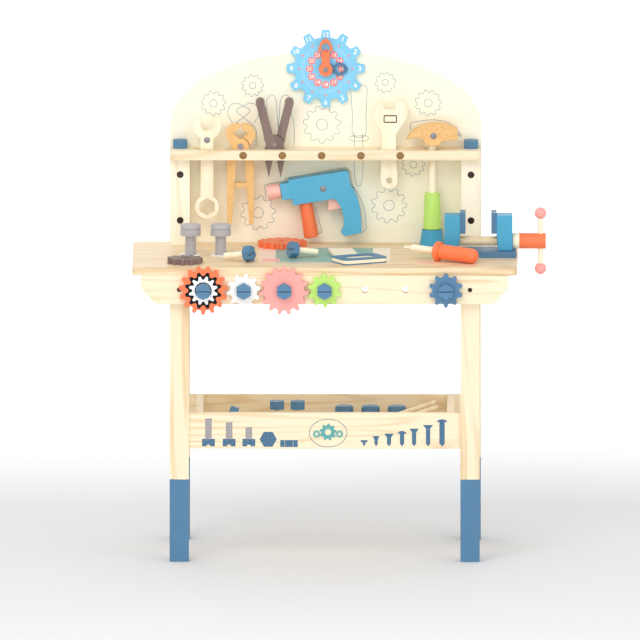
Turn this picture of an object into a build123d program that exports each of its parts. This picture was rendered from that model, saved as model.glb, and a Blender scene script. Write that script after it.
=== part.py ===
from build123d import *
import math
import os

# A wooden toy tool bench: table, back panel with clock and tool shelf, tray between the legs, gear train
# on the front apron, vise, hand tools and loose toy hardware. All lengths are millimetres, +Z is up,
# +X is the viewer's right when facing the apron, and +Y runs from the apron to the back panel.
#
# Everything is drawn in the bench's own frame: X = 0 on the centre line, Y = 0 on the front face of the
# front legs, Z = 0 on the floor. It is moved to the row frame when it is written, at the end.

# ---- Table and legs ----
TABLE_WIDTH = 600
TABLE_FRONT = -15
TABLE_BACK = 276
TABLE_TOP = 464.5
TABLE_THICKNESS = 12
TABLE_CORNER_RADIUS = 11
LEG_SIDE = 30
LEG_OUTER_X = 241.5
APRON_HEIGHT = 45
APRON_THICKNESS = 15
FRONT_APRON_WIDTH = 572
FRONT_APRON_CHAMFER = (22.5, 25)
APRON_HOLE_Z = 430
APRON_HOLE_PITCH = 63
APRON_HOLE_RADIUS = 5.15

# ---- Back panel, posts and tool shelf ----
PANEL_THICKNESS = 9
PANEL_SIDE_TOP = 649
PANEL_OVERHANG = 1
PANEL_ARCH_HEIGHT = 115
POST_TOP = 600
SHELF_THICKNESS = 15
SHELF_FRONT = 219
SHELF_CORNER_RADIUS = 9
SHELF_HOLE_RADIUS = 5.95
SHELF_HOLE_DEPTH = 14
SHELF_HOLE_PITCH = 61.2
SHELF_HOLES_CENTRE_X = -6
SLOT_DEPTH = 12

# ---- Tray between the legs ----
TRAY_BOTTOM = 177.5
TRAY_FRONT_HEIGHT = 56
TRAY_BACK_HEIGHT = 50
TRAY_BOARD = 12
TRAY_END_BOARD = 11
TRAY_END_OUTER_X = 201
TRAY_FLOOR_THICKNESS = 5

# ---- Toy hardware ----
BOLT_RADIUS = 5
BOLT_HEAD_FLATS = 22
BOLT_HEAD_HEIGHT = 13
BOLT_SLOT = 1.5
BOLT_SLOT_DEPTH = 4
NUT_HEIGHT = 10
RUNNING_GAP = 0.05
GEAR_THICKNESS = 9
GEAR_BACK_GAP = 0.5
LARGE_GEAR = {"teeth": 15, "outer": 38.2, "root": 31.3}
SMALL_GEAR = {"teeth": 10, "outer": 26.7, "root": 21.0}
TOOTH_TIP_RADIUS = 3.0
TOOTH_BASE_HALF = 4.0
TOOTH_VALLEY_RADIUS = 1.6

# ---- Clock ----
CLOCK_Z = 738.5
DIAL_OUTER = 60.7
DIAL_ROOT = 49
DIAL_THICKNESS = 8
HAND_THICKNESS = 4.5
PIVOT_RADIUS = 3
PIVOT_HEAD_RADIUS = 4.1
PIVOT_HEAD_HEIGHT = 1.2
HAND_HUB_RADIUS = 10.6

# ---- Tools ----
TOOL_PLATE = 9
TOOL_Y = 242
LAP_GAP = 0.15
LAP_RIM_GAP = 1.1

# ---- Vise ----
VISE_Y = 125
SCREW_Z = 487.5
SCREW_RADIUS = 7.2
VISE_BASE_X = (186, 298)
VISE_BASE_DEPTH = 62
VISE_BASE_HEIGHT = 9.5
JAW_DEPTH = 36
JAW_TOP = 529
BAR_RADIUS = 4.2
BAR_BALL_RADIUS = 9.2
BAR_BALL_REACH = 43.5
SLEEVE_END_X = 343.8
BAR_X = 335.6

# ---- Places that follow from the above ----
TABLE_UNDERSIDE = TABLE_TOP - TABLE_THICKNESS
LEG_CENTRE_X = LEG_OUTER_X - LEG_SIDE / 2
LEG_INNER_X = LEG_OUTER_X - LEG_SIDE
BACK_LEG_FRONT = TABLE_BACK - LEG_SIDE
PANEL_FRONT = TABLE_BACK - PANEL_THICKNESS
POST_FRONT = PANEL_FRONT - LEG_SIDE
POST_Y = PANEL_FRONT - LEG_SIDE / 2
SHELF_TOP = POST_TOP + SHELF_THICKNESS
SHELF_SCREW_Z = (POST_TOP - 25, POST_TOP - 97)
APRON_FRONT = -APRON_THICKNESS
GEAR_BACK = APRON_FRONT - GEAR_BACK_GAP
GEAR_FRONT = GEAR_BACK - GEAR_THICKNESS
GEAR_BOLT_SEAT = GEAR_FRONT - GEAR_BACK_GAP
TRAY_FLOOR_TOP = TRAY_BOTTOM + TRAY_FLOOR_THICKNESS
TRAY_FRONT_FACE = 4
VISE_BASE_TOP = TABLE_TOP + VISE_BASE_HEIGHT
TOOL_BACK = TOOL_Y + TOOL_PLATE / 2

# The row frame's origin is the bottom centre of the whole object's box.
LEFT_REACH = -TABLE_WIDTH / 2
RIGHT_REACH = BAR_X + BAR_BALL_RADIUS
FRONT_REACH = GEAR_BOLT_SEAT - BOLT_HEAD_HEIGHT
TO_ROW_FRAME = Pos(-(LEFT_REACH + RIGHT_REACH) / 2, -(FRONT_REACH + TABLE_BACK) / 2, 0)


# ---- Shapes that are used again ----
def board(x0, x1, y0, y1, z0, z1):
    """A rectangular board between two opposite corners."""
    size = (x1 - x0, y1 - y0, z1 - z0)
    return Pos((x0 + x1) / 2, (y0 + y1) / 2, (z0 + z1) / 2) * Box(*size)


def rod(radius, start, end):
    """A round rod from one point to another."""
    along = Vector(*end) - Vector(*start)
    return extrude(Plane(origin=start, z_dir=along) * Circle(radius), along.length)


def cone(start_radius, end_radius, start, end):
    """A round piece that changes its radius from start to end."""
    along = Vector(*end) - Vector(*start)
    middle = Plane(origin=Vector(*start) + along * 0.5, z_dir=along)
    return middle.location * Cone(start_radius, end_radius, along.length)


def upright(sketch, back, thickness):
    """A flat piece that stands parallel to the back panel; the sketch's axes are X and Z."""
    return extrude(Plane.XZ.offset(-back) * sketch, thickness, dir=(0, -1, 0))


def flat(sketch, bottom, thickness):
    """A flat piece that lies parallel to the table; the sketch's axes are X and Y."""
    return extrude(Pos(0, 0, bottom) * sketch, thickness, dir=(0, 0, 1))


def facing_up(sketch):
    """The same faces with every normal along +Z, so that they merge when they are added."""
    return Sketch() + [face if face.normal_at().Z > 0 else -face for face in sketch.faces()]


def polygon(*points):
    return facing_up(Polygon(*points, align=None))


def outline_of(*curves):
    """A face inside curves that join end to end."""
    return facing_up(make_face([edge for curve in curves for edge in curve.edges()]))


def smooth(*points):
    """A face inside a smooth curve through the points, closed by one straight side."""
    return outline_of(Spline(*points), Line(points[-1], points[0]))


def mirrored(sketch):
    """The sketch mirrored left to right."""
    return facing_up(mirror(sketch, Plane.YZ))


def rest_on(shape, height):
    """The shape moved up or down until its lowest point is just above the height."""
    return Pos(0, 0, height + 0.02 - shape.bounding_box().min.Z) * shape


def gear_outline(teeth, outer, root, phase=0):
    """Round-tipped gear teeth on a disc. phase is the first tooth's angle from +x, in degrees."""
    tip = outer - TOOTH_TIP_RADIUS
    flank_foot = math.sqrt(root**2 - TOOTH_BASE_HALF**2) - 1
    tooth = polygon(
        (flank_foot, -TOOTH_BASE_HALF),
        (tip, -TOOTH_TIP_RADIUS),
        (tip, TOOTH_TIP_RADIUS),
        (flank_foot, TOOTH_BASE_HALF),
    )
    tooth += Pos(tip, 0) * Circle(TOOTH_TIP_RADIUS)
    outline = Circle(root)
    for index in range(teeth):
        outline += Rot(0, 0, phase + index * 360 / teeth) * tooth
    valleys = [corner for corner in outline.vertices() if abs(Vector(*corner).length - root) < 0.5]
    return fillet(valleys, TOOTH_VALLEY_RADIUS)


def toy_bolt(shaft_length):
    """A hexagonal slotted head above Z = 0, and its round shaft below."""
    hexagon = RegularPolygon(BOLT_HEAD_FLATS / 2, 6, major_radius=False, rotation=30)
    head = extrude(hexagon, BOLT_HEAD_HEIGHT)
    head -= Pos(0, 0, BOLT_HEAD_HEIGHT) * Box(2 * BOLT_HEAD_FLATS, BOLT_SLOT, 2 * BOLT_SLOT_DEPTH)
    shaft = Pos(0, 0, -shaft_length / 2) * Cylinder(BOLT_RADIUS, shaft_length)
    return head + shaft


def facing_front(x, y, z):
    """Turns a piece built along +Z to point out of the apron, and puts its origin at a place."""
    return Pos(x, y, z) * Rot(90, 0, 0)


def two_sides(make):
    """The same piece on the left and on the right."""
    return [make(-1), make(1)]


# ---- Table frame ----
def make_tabletop():
    top = board(-TABLE_WIDTH / 2, TABLE_WIDTH / 2, TABLE_FRONT, TABLE_BACK, TABLE_UNDERSIDE, TABLE_TOP)
    top = fillet(top.edges().filter_by(Axis.Z), TABLE_CORNER_RADIUS)
    for x in TABLE_SCREW_X:
        top -= rod(TABLE_SCREW_SHAFT + RUNNING_GAP, (x, VISE_Y, TABLE_UNDERSIDE), (x, VISE_Y, TABLE_TOP))
    return [top]


APRON_BOLT_X = [APRON_HOLE_PITCH * index for index in (-3, -2, -1, 0, 3)]
APRON_HOLE_X = [APRON_HOLE_PITCH * index for index in range(-3, 4)]


def make_front_apron():
    half = FRONT_APRON_WIDTH / 2
    low = TABLE_UNDERSIDE - APRON_HEIGHT
    run, rise = FRONT_APRON_CHAMFER
    outline = polygon(
        (-half, TABLE_UNDERSIDE),
        (-half, low + rise),
        (-half + run, low),
        (half - run, low),
        (half, low + rise),
        (half, TABLE_UNDERSIDE),
    )
    for x in APRON_HOLE_X:
        outline -= Pos(x, APRON_HOLE_Z) * Circle(APRON_HOLE_RADIUS)
    apron = upright(outline, 0, APRON_THICKNESS)
    for screw in frame_screw_shapes():
        apron -= screw
    return [apron]


def make_rear_aprons():
    low = TABLE_UNDERSIDE - APRON_HEIGHT
    back = board(-LEG_INNER_X, LEG_INNER_X, TABLE_BACK - APRON_THICKNESS, TABLE_BACK, low, TABLE_UNDERSIDE)
    side = board(
        LEG_OUTER_X - APRON_THICKNESS, LEG_OUTER_X, LEG_SIDE, BACK_LEG_FRONT, low, TABLE_UNDERSIDE
    )
    return [back, side, mirror(side, Plane.YZ)]


def make_legs():
    legs = []
    for front in (0, BACK_LEG_FRONT):
        for x in (-LEG_OUTER_X, LEG_INNER_X):
            leg = board(x, x + LEG_SIDE, front, front + LEG_SIDE, 0, TABLE_UNDERSIDE)
            for screw in frame_screw_shapes():
                leg -= screw
            legs.append(leg)
    return legs


SCREW_SHANK_RADIUS = 2
SCREW_SHANK_LENGTH = 22
POST_SCREW_HEAD_RADIUS = 5.25
APRON_SCREW_HEAD_RADIUS = 3.5
SCREW_HEAD_SINK = 2.5


def frame_screw(x, y, z, head_radius):
    """A screw driven in from the front, its head sunk to 0.4 mm proud and with a hexagon socket."""
    head = upright(Pos(x, z) * Circle(head_radius), y + SCREW_HEAD_SINK, SCREW_HEAD_SINK + 0.4)
    shank_end = y + SCREW_HEAD_SINK + SCREW_SHANK_LENGTH
    return head + rod(SCREW_SHANK_RADIUS, (x, y + SCREW_HEAD_SINK, z), (x, shank_end, z))


def frame_screw_shapes():
    screws = []
    for side in (-1, 1):
        x = side * LEG_CENTRE_X
        screws.append(frame_screw(x, APRON_FRONT, APRON_HOLE_Z, APRON_SCREW_HEAD_RADIUS))
        for z in SHELF_SCREW_Z:
            screws.append(frame_screw(x, POST_FRONT, z, POST_SCREW_HEAD_RADIUS))
    return screws


def make_frame_screws():
    screws = []
    for screw in frame_screw_shapes():
        face = screw.faces().sort_by(Axis.Y)[0].center()
        socket = RegularPolygon(2, 6, major_radius=False)
        screws.append(screw - upright(Pos(face.X, face.Z) * socket, face.Y + 1.8, 1.8))
    return screws


# ---- Back panel and shelf ----
def make_back_panel():
    half_width = LEG_OUTER_X + PANEL_OVERHANG
    lower = Pos(0, (TABLE_TOP + PANEL_SIDE_TOP) / 2) * Rectangle(2 * half_width, PANEL_SIDE_TOP - TABLE_TOP)
    arch = Pos(0, PANEL_SIDE_TOP) * Ellipse(half_width, PANEL_ARCH_HEIGHT)
    outline = lower + arch
    outline -= Pos(0, CLOCK_Z) * Circle(PIVOT_RADIUS)
    outline -= Pos(DRILL_X, DRILL_Z) * Circle(DRILL_PEG_RADIUS)
    return [upright(outline, TABLE_BACK, PANEL_THICKNESS)]


def make_shelf_posts():
    def post(side):
        x = side * LEG_CENTRE_X
        half = LEG_SIDE / 2
        shape = board(x - half, x + half, POST_FRONT, PANEL_FRONT, TABLE_TOP, POST_TOP)
        for screw in frame_screw_shapes():
            shape -= screw
        return shape - rod(APRON_HOLE_RADIUS, (x, POST_Y, POST_TOP - 25), (x, POST_Y, POST_TOP))

    return two_sides(post)


SLOTS = {
    "spanner": (-184.7, 41),
    "pliers": (-132.4, 44),
    "cutters": (-79.2, 33),
    "screwdriver": (53, 17),
    "adjustable_wrench": (98.2, 35),
}
HAMMER_HOLE_X = 165.7
HAMMER_HOLE_RADIUS = 15


def make_tool_shelf():
    depth = PANEL_FRONT - SHELF_FRONT
    width = 2 * (LEG_OUTER_X + PANEL_OVERHANG)
    outline = Pos(0, (SHELF_FRONT + PANEL_FRONT) / 2) * Rectangle(width, depth)
    corners = outline.vertices().group_by(Axis.Y)[0]
    outline = fillet(corners, SHELF_CORNER_RADIUS)
    for x, width in SLOTS.values():
        outline -= Pos(x, TOOL_Y) * RectangleRounded(width, SLOT_DEPTH, 2.5)
    outline -= Pos(HAMMER_HOLE_X, TOOL_Y) * Circle(HAMMER_HOLE_RADIUS)
    for side in (-1, 1):
        outline -= Pos(side * LEG_CENTRE_X, POST_Y) * Circle(APRON_HOLE_RADIUS)
    shelf = flat(outline, POST_TOP, SHELF_THICKNESS)
    hole_z = POST_TOP + SHELF_THICKNESS / 2
    hole = Circle(SHELF_HOLE_RADIUS)
    row = [Pos(index * SHELF_HOLE_PITCH + SHELF_HOLES_CENTRE_X, hole_z) * hole for index in range(-2, 3)]
    shelf -= upright(Sketch() + row, SHELF_FRONT + SHELF_HOLE_DEPTH, SHELF_HOLE_DEPTH)
    return [shelf]


# ---- Tray ----
def make_tray_front():
    top = TRAY_BOTTOM + TRAY_FRONT_HEIGHT
    back = TRAY_FRONT_FACE + TRAY_BOARD
    return [board(-LEG_INNER_X, LEG_INNER_X, TRAY_FRONT_FACE, back, TRAY_BOTTOM, top)]


def make_tray_back():
    top = TRAY_BOTTOM + TRAY_BACK_HEIGHT
    back = BACK_LEG_FRONT + TRAY_BOARD
    return [board(-LEG_INNER_X, LEG_INNER_X, BACK_LEG_FRONT, back, TRAY_BOTTOM, top)]


def make_tray_ends():
    inner = TRAY_END_OUTER_X - TRAY_END_BOARD
    top = TRAY_BOTTOM + TRAY_BACK_HEIGHT
    start = TRAY_FRONT_FACE + TRAY_BOARD
    end = board(inner, TRAY_END_OUTER_X, start, BACK_LEG_FRONT, TRAY_BOTTOM, top)
    return [end, mirror(end, Plane.YZ)]


def make_tray_floor():
    half = TRAY_END_OUTER_X - TRAY_END_BOARD
    start = TRAY_FRONT_FACE + TRAY_BOARD
    return [board(-half, half, start, BACK_LEG_FRONT, TRAY_BOTTOM, TRAY_FLOOR_TOP)]


PEG_HEAD_RADIUS = 14.3
PEG_HEAD_HEIGHT = 15
PEG_SHAFT = 20


def lying_in_tray(x, y):
    """A toy bolt that lies on a flat of its head along the tray's depth; y is the seat of its head."""
    return rest_on(Pos(x, y, 0) * Rot(90, 0, 0) * Rot(0, 0, 30) * toy_bolt(35), TRAY_FLOOR_TOP)


def make_tray_bolts():
    """Two bolts stand head up on the floor, and one lies across two others."""
    standing = [rest_on(Pos(x, 158, 0) * toy_bolt(35), TRAY_FLOOR_TOP) for x in (-75, -43)]
    lower = [lying_in_tray(-158, 126.5), lying_in_tray(-108, 103)]
    shaft_top = TRAY_FLOOR_TOP + BOLT_HEAD_FLATS / 2 + BOLT_RADIUS
    across = Pos(-137.2, 120, 0) * Rot(0, -72, 0) * toy_bolt(35)
    return standing + lower + [rest_on(across, shaft_top - 0.4)]


def make_tray_pegs():
    """Three pegs with wide round heads, which stand at the back of the tray."""
    pegs = []
    for x in (29.1, 70.4, 111.5):
        seat = (x, 199, TRAY_FLOOR_TOP + PEG_SHAFT)
        top = (x, 199, TRAY_FLOOR_TOP + PEG_SHAFT + PEG_HEAD_HEIGHT)
        head = rod(PEG_HEAD_RADIUS, seat, top)
        head = fillet(head.edges().filter_by(GeomType.CIRCLE).sort_by(Axis.Z)[-1], 4)
        pegs.append(head + rod(BOLT_RADIUS, (x, 199, TRAY_FLOOR_TOP), seat))
    return pegs


# Each strip's low and high end, with heights above the tray's floor.
STRIP_ENDS = (
    ((5, 75, 0), (171, 152, 46)),
    ((20, 50, 0), (175, 118, 43)),
    ((60, 30, 0), (184, 84, 38)),
)


def make_tray_strips():
    """Thin strips of wood that lie slantwise and rise towards the right."""
    strips = []
    for low, high in STRIP_ENDS:
        start, end = Vector(*low), Vector(*high)
        along = end - start
        across = along.cross(Vector(0, 0, 1))
        section = Plane(origin=start, x_dir=across, z_dir=along)
        strip = extrude(section * Rectangle(8, 4), along.length)
        strips.append(rest_on(strip, TRAY_FLOOR_TOP))
    return strips


# ---- Gear train on the apron ----
GEARS = {
    "orange_gear": (APRON_BOLT_X[0], LARGE_GEAR, -90),
    "white_gear": (APRON_BOLT_X[1], SMALL_GEAR, 9),
    "pink_gear": (APRON_BOLT_X[2], LARGE_GEAR, 90),
    "green_gear": (APRON_BOLT_X[3], SMALL_GEAR, 93),
    "blue_gear": (APRON_BOLT_X[4], SMALL_GEAR, 90),
}


def make_gear(name):
    x, size, phase = GEARS[name]
    outline = gear_outline(**size, phase=phase) - Circle(BOLT_RADIUS + RUNNING_GAP)
    return [upright(Pos(x, APRON_HOLE_Z) * outline, GEAR_BACK, GEAR_THICKNESS)]


def make_toy_bolts():
    """Five bolts carry the gears, and two stand in the ends of the shelf."""
    axle = toy_bolt(NUT_HEIGHT + 2 - GEAR_BOLT_SEAT)
    bolts = [facing_front(x, GEAR_BOLT_SEAT, APRON_HOLE_Z) * axle for x in APRON_BOLT_X]
    short = toy_bolt(SHELF_THICKNESS + 22)
    return bolts + [Pos(side * LEG_CENTRE_X, POST_Y, SHELF_TOP) * short for side in (-1, 1)]


def make_gear_nuts():
    hexagon = RegularPolygon(BOLT_HEAD_FLATS / 2, 6, major_radius=False, rotation=30)
    nut = hexagon - Circle(BOLT_RADIUS + RUNNING_GAP)
    return [upright(Pos(x, APRON_HOLE_Z) * nut, NUT_HEIGHT, NUT_HEIGHT) for x in APRON_BOLT_X]


# ---- Clock ----
def make_clock_dial():
    tooth = polygon((DIAL_ROOT - 2, -8.25), (DIAL_OUTER, -5.85), (DIAL_OUTER, 5.85), (DIAL_ROOT - 2, 8.25))
    outline = Circle(DIAL_ROOT)
    for hour in range(12):
        outline += Rot(0, 0, 30 * hour) * tooth
    outline -= Circle(PIVOT_RADIUS)
    return [upright(Pos(0, CLOCK_Z) * outline, PANEL_FRONT, DIAL_THICKNESS)]


# The head's side: shares of its half width, and of its height.
HAND_DOME = ((1, 0), (0.89, 0.3), (0.72, 0.6), (0.43, 0.87))


def hand(arm, barb, low, high, hole):
    """A clock hand that points up: a round hub, a straight arm, and a domed head with a large round hole.
    barb is the head's half width, and low and high are its heights above the pivot."""
    span = high - low
    side = [(share * barb, low + rise * span) for share, rise in HAND_DOME]
    other = [(-x, z) for x, z in reversed(side)]
    dome = Spline(*side, (0, high), *other)
    outline = Circle(HAND_HUB_RADIUS) + Pos(0, low / 2) * Rectangle(arm, low)
    outline += outline_of(dome, Line(other[-1], side[0]))
    outline -= Pos(0, low + 0.29 * span) * Circle(hole)
    return outline - Circle(PIVOT_RADIUS + RUNNING_GAP)


HOUR_HAND_BACK = PANEL_FRONT - DIAL_THICKNESS - 0.4
MINUTE_HAND_BACK = HOUR_HAND_BACK - HAND_THICKNESS - 0.4


def make_minute_hand():
    outline = hand(12.7, 11.6, 29.3, 48.2, 6.9)
    return [upright(Pos(0, CLOCK_Z) * outline, MINUTE_HAND_BACK, HAND_THICKNESS)]


def make_hour_hand():
    outline = Rot(0, 0, -90) * hand(12.1, 11.3, 17.3, 34.4, 6.3)
    return [upright(Pos(0, CLOCK_Z) * outline, HOUR_HAND_BACK, HAND_THICKNESS)]


def make_clock_pivot():
    """A metal pin through the panel, with a low hollow head in front of the hands."""
    front = MINUTE_HAND_BACK - HAND_THICKNESS - 0.3
    tip = front - PIVOT_HEAD_HEIGHT
    pin = rod(PIVOT_RADIUS, (0, front, CLOCK_Z), (0, TABLE_BACK, CLOCK_Z))
    head = rod(PIVOT_HEAD_RADIUS, (0, tip, CLOCK_Z), (0, front, CLOCK_Z))
    head = fillet(head.edges().filter_by(GeomType.CIRCLE).sort_by(Axis.Y)[0], 0.6)
    return [pin + head - rod(1.7, (0, tip, CLOCK_Z), (0, front + 1, CLOCK_Z))]


# ---- Hand tools in the shelf ----
def tool_plate(outline, x):
    """A flat tool cut from one board, at its slot's place."""
    return upright(Pos(x, 0) * outline, TOOL_BACK, TOOL_PLATE)


SPANNER_RING_Z = 524.2
SPANNER_JAW_TOP = 665


def make_spanner():
    """An open jaw above the shelf, and a ring with a hexagon hole below it."""
    z = SPANNER_JAW_TOP
    half = smooth((0, z - 37), (10.2, z - 33), (18.5, z - 24), (22.1, z - 12), (18.5, z))
    half += polygon((0, z - 37), (18.5, z), (0, z))
    jaw = half + mirrored(half)
    jaw -= Pos(0, z + 5) * Rectangle(20, 34)
    jaw -= Pos(0, z - 12) * Circle(10)
    shaft_length = z - 30 - SPANNER_RING_Z
    shaft = Pos(0, SPANNER_RING_Z + shaft_length / 2) * Rectangle(20, shaft_length)
    ring = Pos(0, SPANNER_RING_Z) * Circle(18.9)
    outline = jaw + shaft + ring
    outline -= Pos(0, SPANNER_RING_Z) * RegularPolygon(11.7, 6, major_radius=False, rotation=30)
    return [tool_plate(outline, SLOTS["spanner"][0])]


def lapped(outline, pivot, lap_radius, pin_radius, front):
    """One half of a two-part tool. Round the pivot it keeps only its front or its back layer."""
    x, z = pivot
    half = upright(outline, TOOL_BACK, TOOL_PLATE)
    lap = Pos(x, z) * Circle(lap_radius + LAP_RIM_GAP)
    thickness = TOOL_PLATE / 2 + LAP_GAP / 2
    layer_back = TOOL_BACK if front else TOOL_BACK - TOOL_PLATE + thickness
    half -= upright(lap, layer_back, thickness)
    return half - upright(Pos(x, z) * Circle(pin_radius), TOOL_BACK, TOOL_PLATE)


def pivot_pin(pivot, radius):
    x, z = pivot
    return [rod(radius, (x, TOOL_BACK - TOOL_PLATE - 0.6, z), (x, TOOL_BACK + 0.6, z))]


PLIERS_PIVOT = (-132.5, 619.2)
PLIERS_PIN_RADIUS = 4.6
PLIERS_LAP = 13.2


def pliers_jaw():
    """The right-hand jaw, drawn about the pivot: a round lobe."""
    jaw = smooth((0.3, 34), (9, 35.5), (18, 31), (23.2, 21), (20, 10), (12.5, -2))
    jaw += polygon((0.3, 34), (12.5, -2), (0.3, 0))
    return jaw


def pliers_half(outline, front):
    """One half from its outline about the pivot, with the diamond opening cut from it."""
    outline = outline + Circle(PLIERS_LAP) - polygon((0, 30.5), (11.2, 19.8), (0, 11), (-11.2, 19.8))
    radius = PLIERS_PIN_RADIUS + (0 if front else RUNNING_GAP)
    return [lapped(Pos(*PLIERS_PIVOT) * outline, PLIERS_PIVOT, PLIERS_LAP, radius, front)]


def pliers_handle():
    """The left-hand handle, drawn about the pivot, from the lap down to its rounded end."""
    outer = [(-10, -6), (-17.5, -13), (-20.9, -22), (-20.9, -60), (-20.5, -118)]
    inner = [(-13.2, -118), (-6.6, -22), (-5, -10)]
    handle = polygon(*outer, *inner)
    return handle + Pos(-16.8, -119) * Circle(3.7)


def make_pliers_left_half():
    """The left handle and the right jaw."""
    return pliers_half(pliers_handle() + pliers_jaw(), False)


def make_pliers_right_half():
    """The right handle and the left jaw, and the stop bar between the handles."""
    outline = mirrored(pliers_handle()) + mirrored(pliers_jaw())
    return pliers_half(outline + Pos(2.3, -61) * SlotOverall(22.2, 7.4), True)


CUTTERS_PIVOT = (-79.2, 622.3)
CUTTERS_PIN_RADIUS = 2.6
CUTTERS_LAP = 14.6


def cutters_arm(side):
    """A long rounded handle above the pivot, on the left for side -1 and on the right for side 1."""
    arm = polygon((1.5, 9), (3.3, 14.5), (16.6, 67), (29.6, 65), (18.1, 18.4), (15.4, 3))
    arm += Pos(22.6, 66.3) * Circle(7)
    return arm if side > 0 else mirrored(arm)


def cutters_blade(side):
    """A pointed blade below the pivot, on the left for side -1 and on the right for side 1."""
    blade = polygon((1, -6), (15, -4), (15.3, -8), (15.4, -24), (9.2, -52.4), (3.2, -25), (2.2, -13))
    return blade if side > 0 else mirrored(blade)


def cutters_half(side, front):
    """The arm on one side of the pivot crosses to the blade on the other side."""
    outline = cutters_arm(side) + cutters_blade(-side) + Circle(CUTTERS_LAP)
    radius = CUTTERS_PIN_RADIUS + (RUNNING_GAP if front else 0)
    return [lapped(Pos(*CUTTERS_PIVOT) * outline, CUTTERS_PIVOT, CUTTERS_LAP, radius, front)]


WRENCH_TOP = 693.5


def make_adjustable_wrench():
    """A wide head with an open jaw and a block set in a shallow window; the foot has a round hole."""
    z = WRENCH_TOP
    head = polygon((-9.5, z - 56), (-21.5, z - 22), (-17.5, z - 7), (-14.3, z), (-9, z - 3), (-7.4, z - 16))
    head += polygon((-9.5, z - 56), (-7.4, z - 16), (10.6, z - 16), (10.6, z - 56))
    head += polygon((10.6, z - 56), (10.6, z - 16), (11, z - 4), (20, z - 0.5), (26, z - 6), (30.3, z - 19))
    head += smooth((10.6, z - 60), (14, z - 51), (26.5, z - 33), (30.3, z - 19), (10.6, z - 16))
    head += smooth((-9.5, z - 60), (-13, z - 49), (-20, z - 33), (-21.5, z - 22), (-9.5, z - 16))
    foot_z = 566
    shaft = polygon((-10, z - 54), (10.6, z - 54), (14.1, foot_z), (-12.6, foot_z))
    foot = Pos(0.75, foot_z) * Circle(13.3)
    outline = head + shaft + foot
    outline -= Pos(0.75, foot_z) * Circle(4.7)
    x = SLOTS["adjustable_wrench"][0]
    wrench = tool_plate(outline, x)
    window = Pos(x + 2.6, z - 30.8) * (RectangleRounded(20.8, 12.4, 2) - RectangleRounded(17.6, 8.6, 1))
    recess = 3
    wrench -= upright(window, TOOL_BACK, recess)
    wrench -= upright(window, TOOL_BACK - TOOL_PLATE + recess, recess)
    return [wrench]


HAMMER_X = 166
HAMMER_HEAD_Z = 637
HAMMER_HEAD_DEPTH = 20
HAMMER_SHAFT_RADIUS = 5.8
HAMMER_REST_TOP = 488.7
HAMMER_GRIP_BOTTOM = HAMMER_REST_TOP + 0.3
HAMMER_GRIP_TOP = 546.6
HAMMER_FOOT = 476


def make_hammer_head():
    """A claw that curves to the left, a square face on the right, and a neck that holds the shaft."""
    z = HAMMER_HEAD_Z
    top = Spline((-40, z - 6.5), (-26, z + 10), (3, z + 19.5), (27, z + 16), (39.3, z + 10))
    rest = Polyline(
        (39.3, z + 10),
        (39.3, z - 6.5),
        (15, z - 8),
        (11.5, z - 15),
        (-9.5, z - 15),
        (-14, z - 5),
        (-24, z - 2),
        (-40, z - 6.5),
    )
    head = outline_of(top, rest)
    shape = upright(Pos(HAMMER_X, 0) * head, TOOL_Y + HAMMER_HEAD_DEPTH / 2, HAMMER_HEAD_DEPTH)
    return [shape - rod(HAMMER_SHAFT_RADIUS, (HAMMER_X, TOOL_Y, 600), (HAMMER_X, TOOL_Y, z))]


def make_hammer_handle():
    """The natural shaft, from inside the head, through the grip and down into the rest."""
    return [rod(HAMMER_SHAFT_RADIUS, (HAMMER_X, TOOL_Y, HAMMER_FOOT), (HAMMER_X, TOOL_Y, HAMMER_HEAD_Z))]


def make_hammer_grip():
    ends = ((HAMMER_X, TOOL_Y, HAMMER_GRIP_BOTTOM), (HAMMER_X, TOOL_Y, HAMMER_GRIP_TOP))
    grip = cone(13.9, 11.6, *ends)
    grip = chamfer(grip.edges().filter_by(GeomType.CIRCLE), 1.2)
    return [grip - rod(HAMMER_SHAFT_RADIUS, *ends)]


def make_hammer_rest():
    """A flared block that stands on the table, with a socket for the end of the hammer's shaft."""
    foot = (HAMMER_X, TOOL_Y, TABLE_TOP)
    top = (HAMMER_X, TOOL_Y, HAMMER_REST_TOP)
    block = cone(19.5, 15.6, foot, top)
    return [block - rod(HAMMER_SHAFT_RADIUS + 0.4, (HAMMER_X, TOOL_Y, HAMMER_FOOT - 1), top)]


# ---- Drill, drawn about its side screw with its top level, then turned nose down ----
DRILL_X = -3.8
DRILL_Z = 553
DRILL_TURN = 9.3
DRILL_FRONT = 236
DRILL_THICKNESS = 26
DRILL_PEG_RADIUS = 4
DRILL_CHUCK_Z = 5.9
DRILL_CHUCK_RADIUS = 11.6
DRILL_NOSE_X = -65.5


def in_drill(shape):
    """Moves a shape from the drill's own frame to its place on the back panel."""
    middle = DRILL_FRONT + DRILL_THICKNESS / 2
    return Pos(DRILL_X, middle, DRILL_Z) * Rot(0, -DRILL_TURN, 0) * shape


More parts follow.
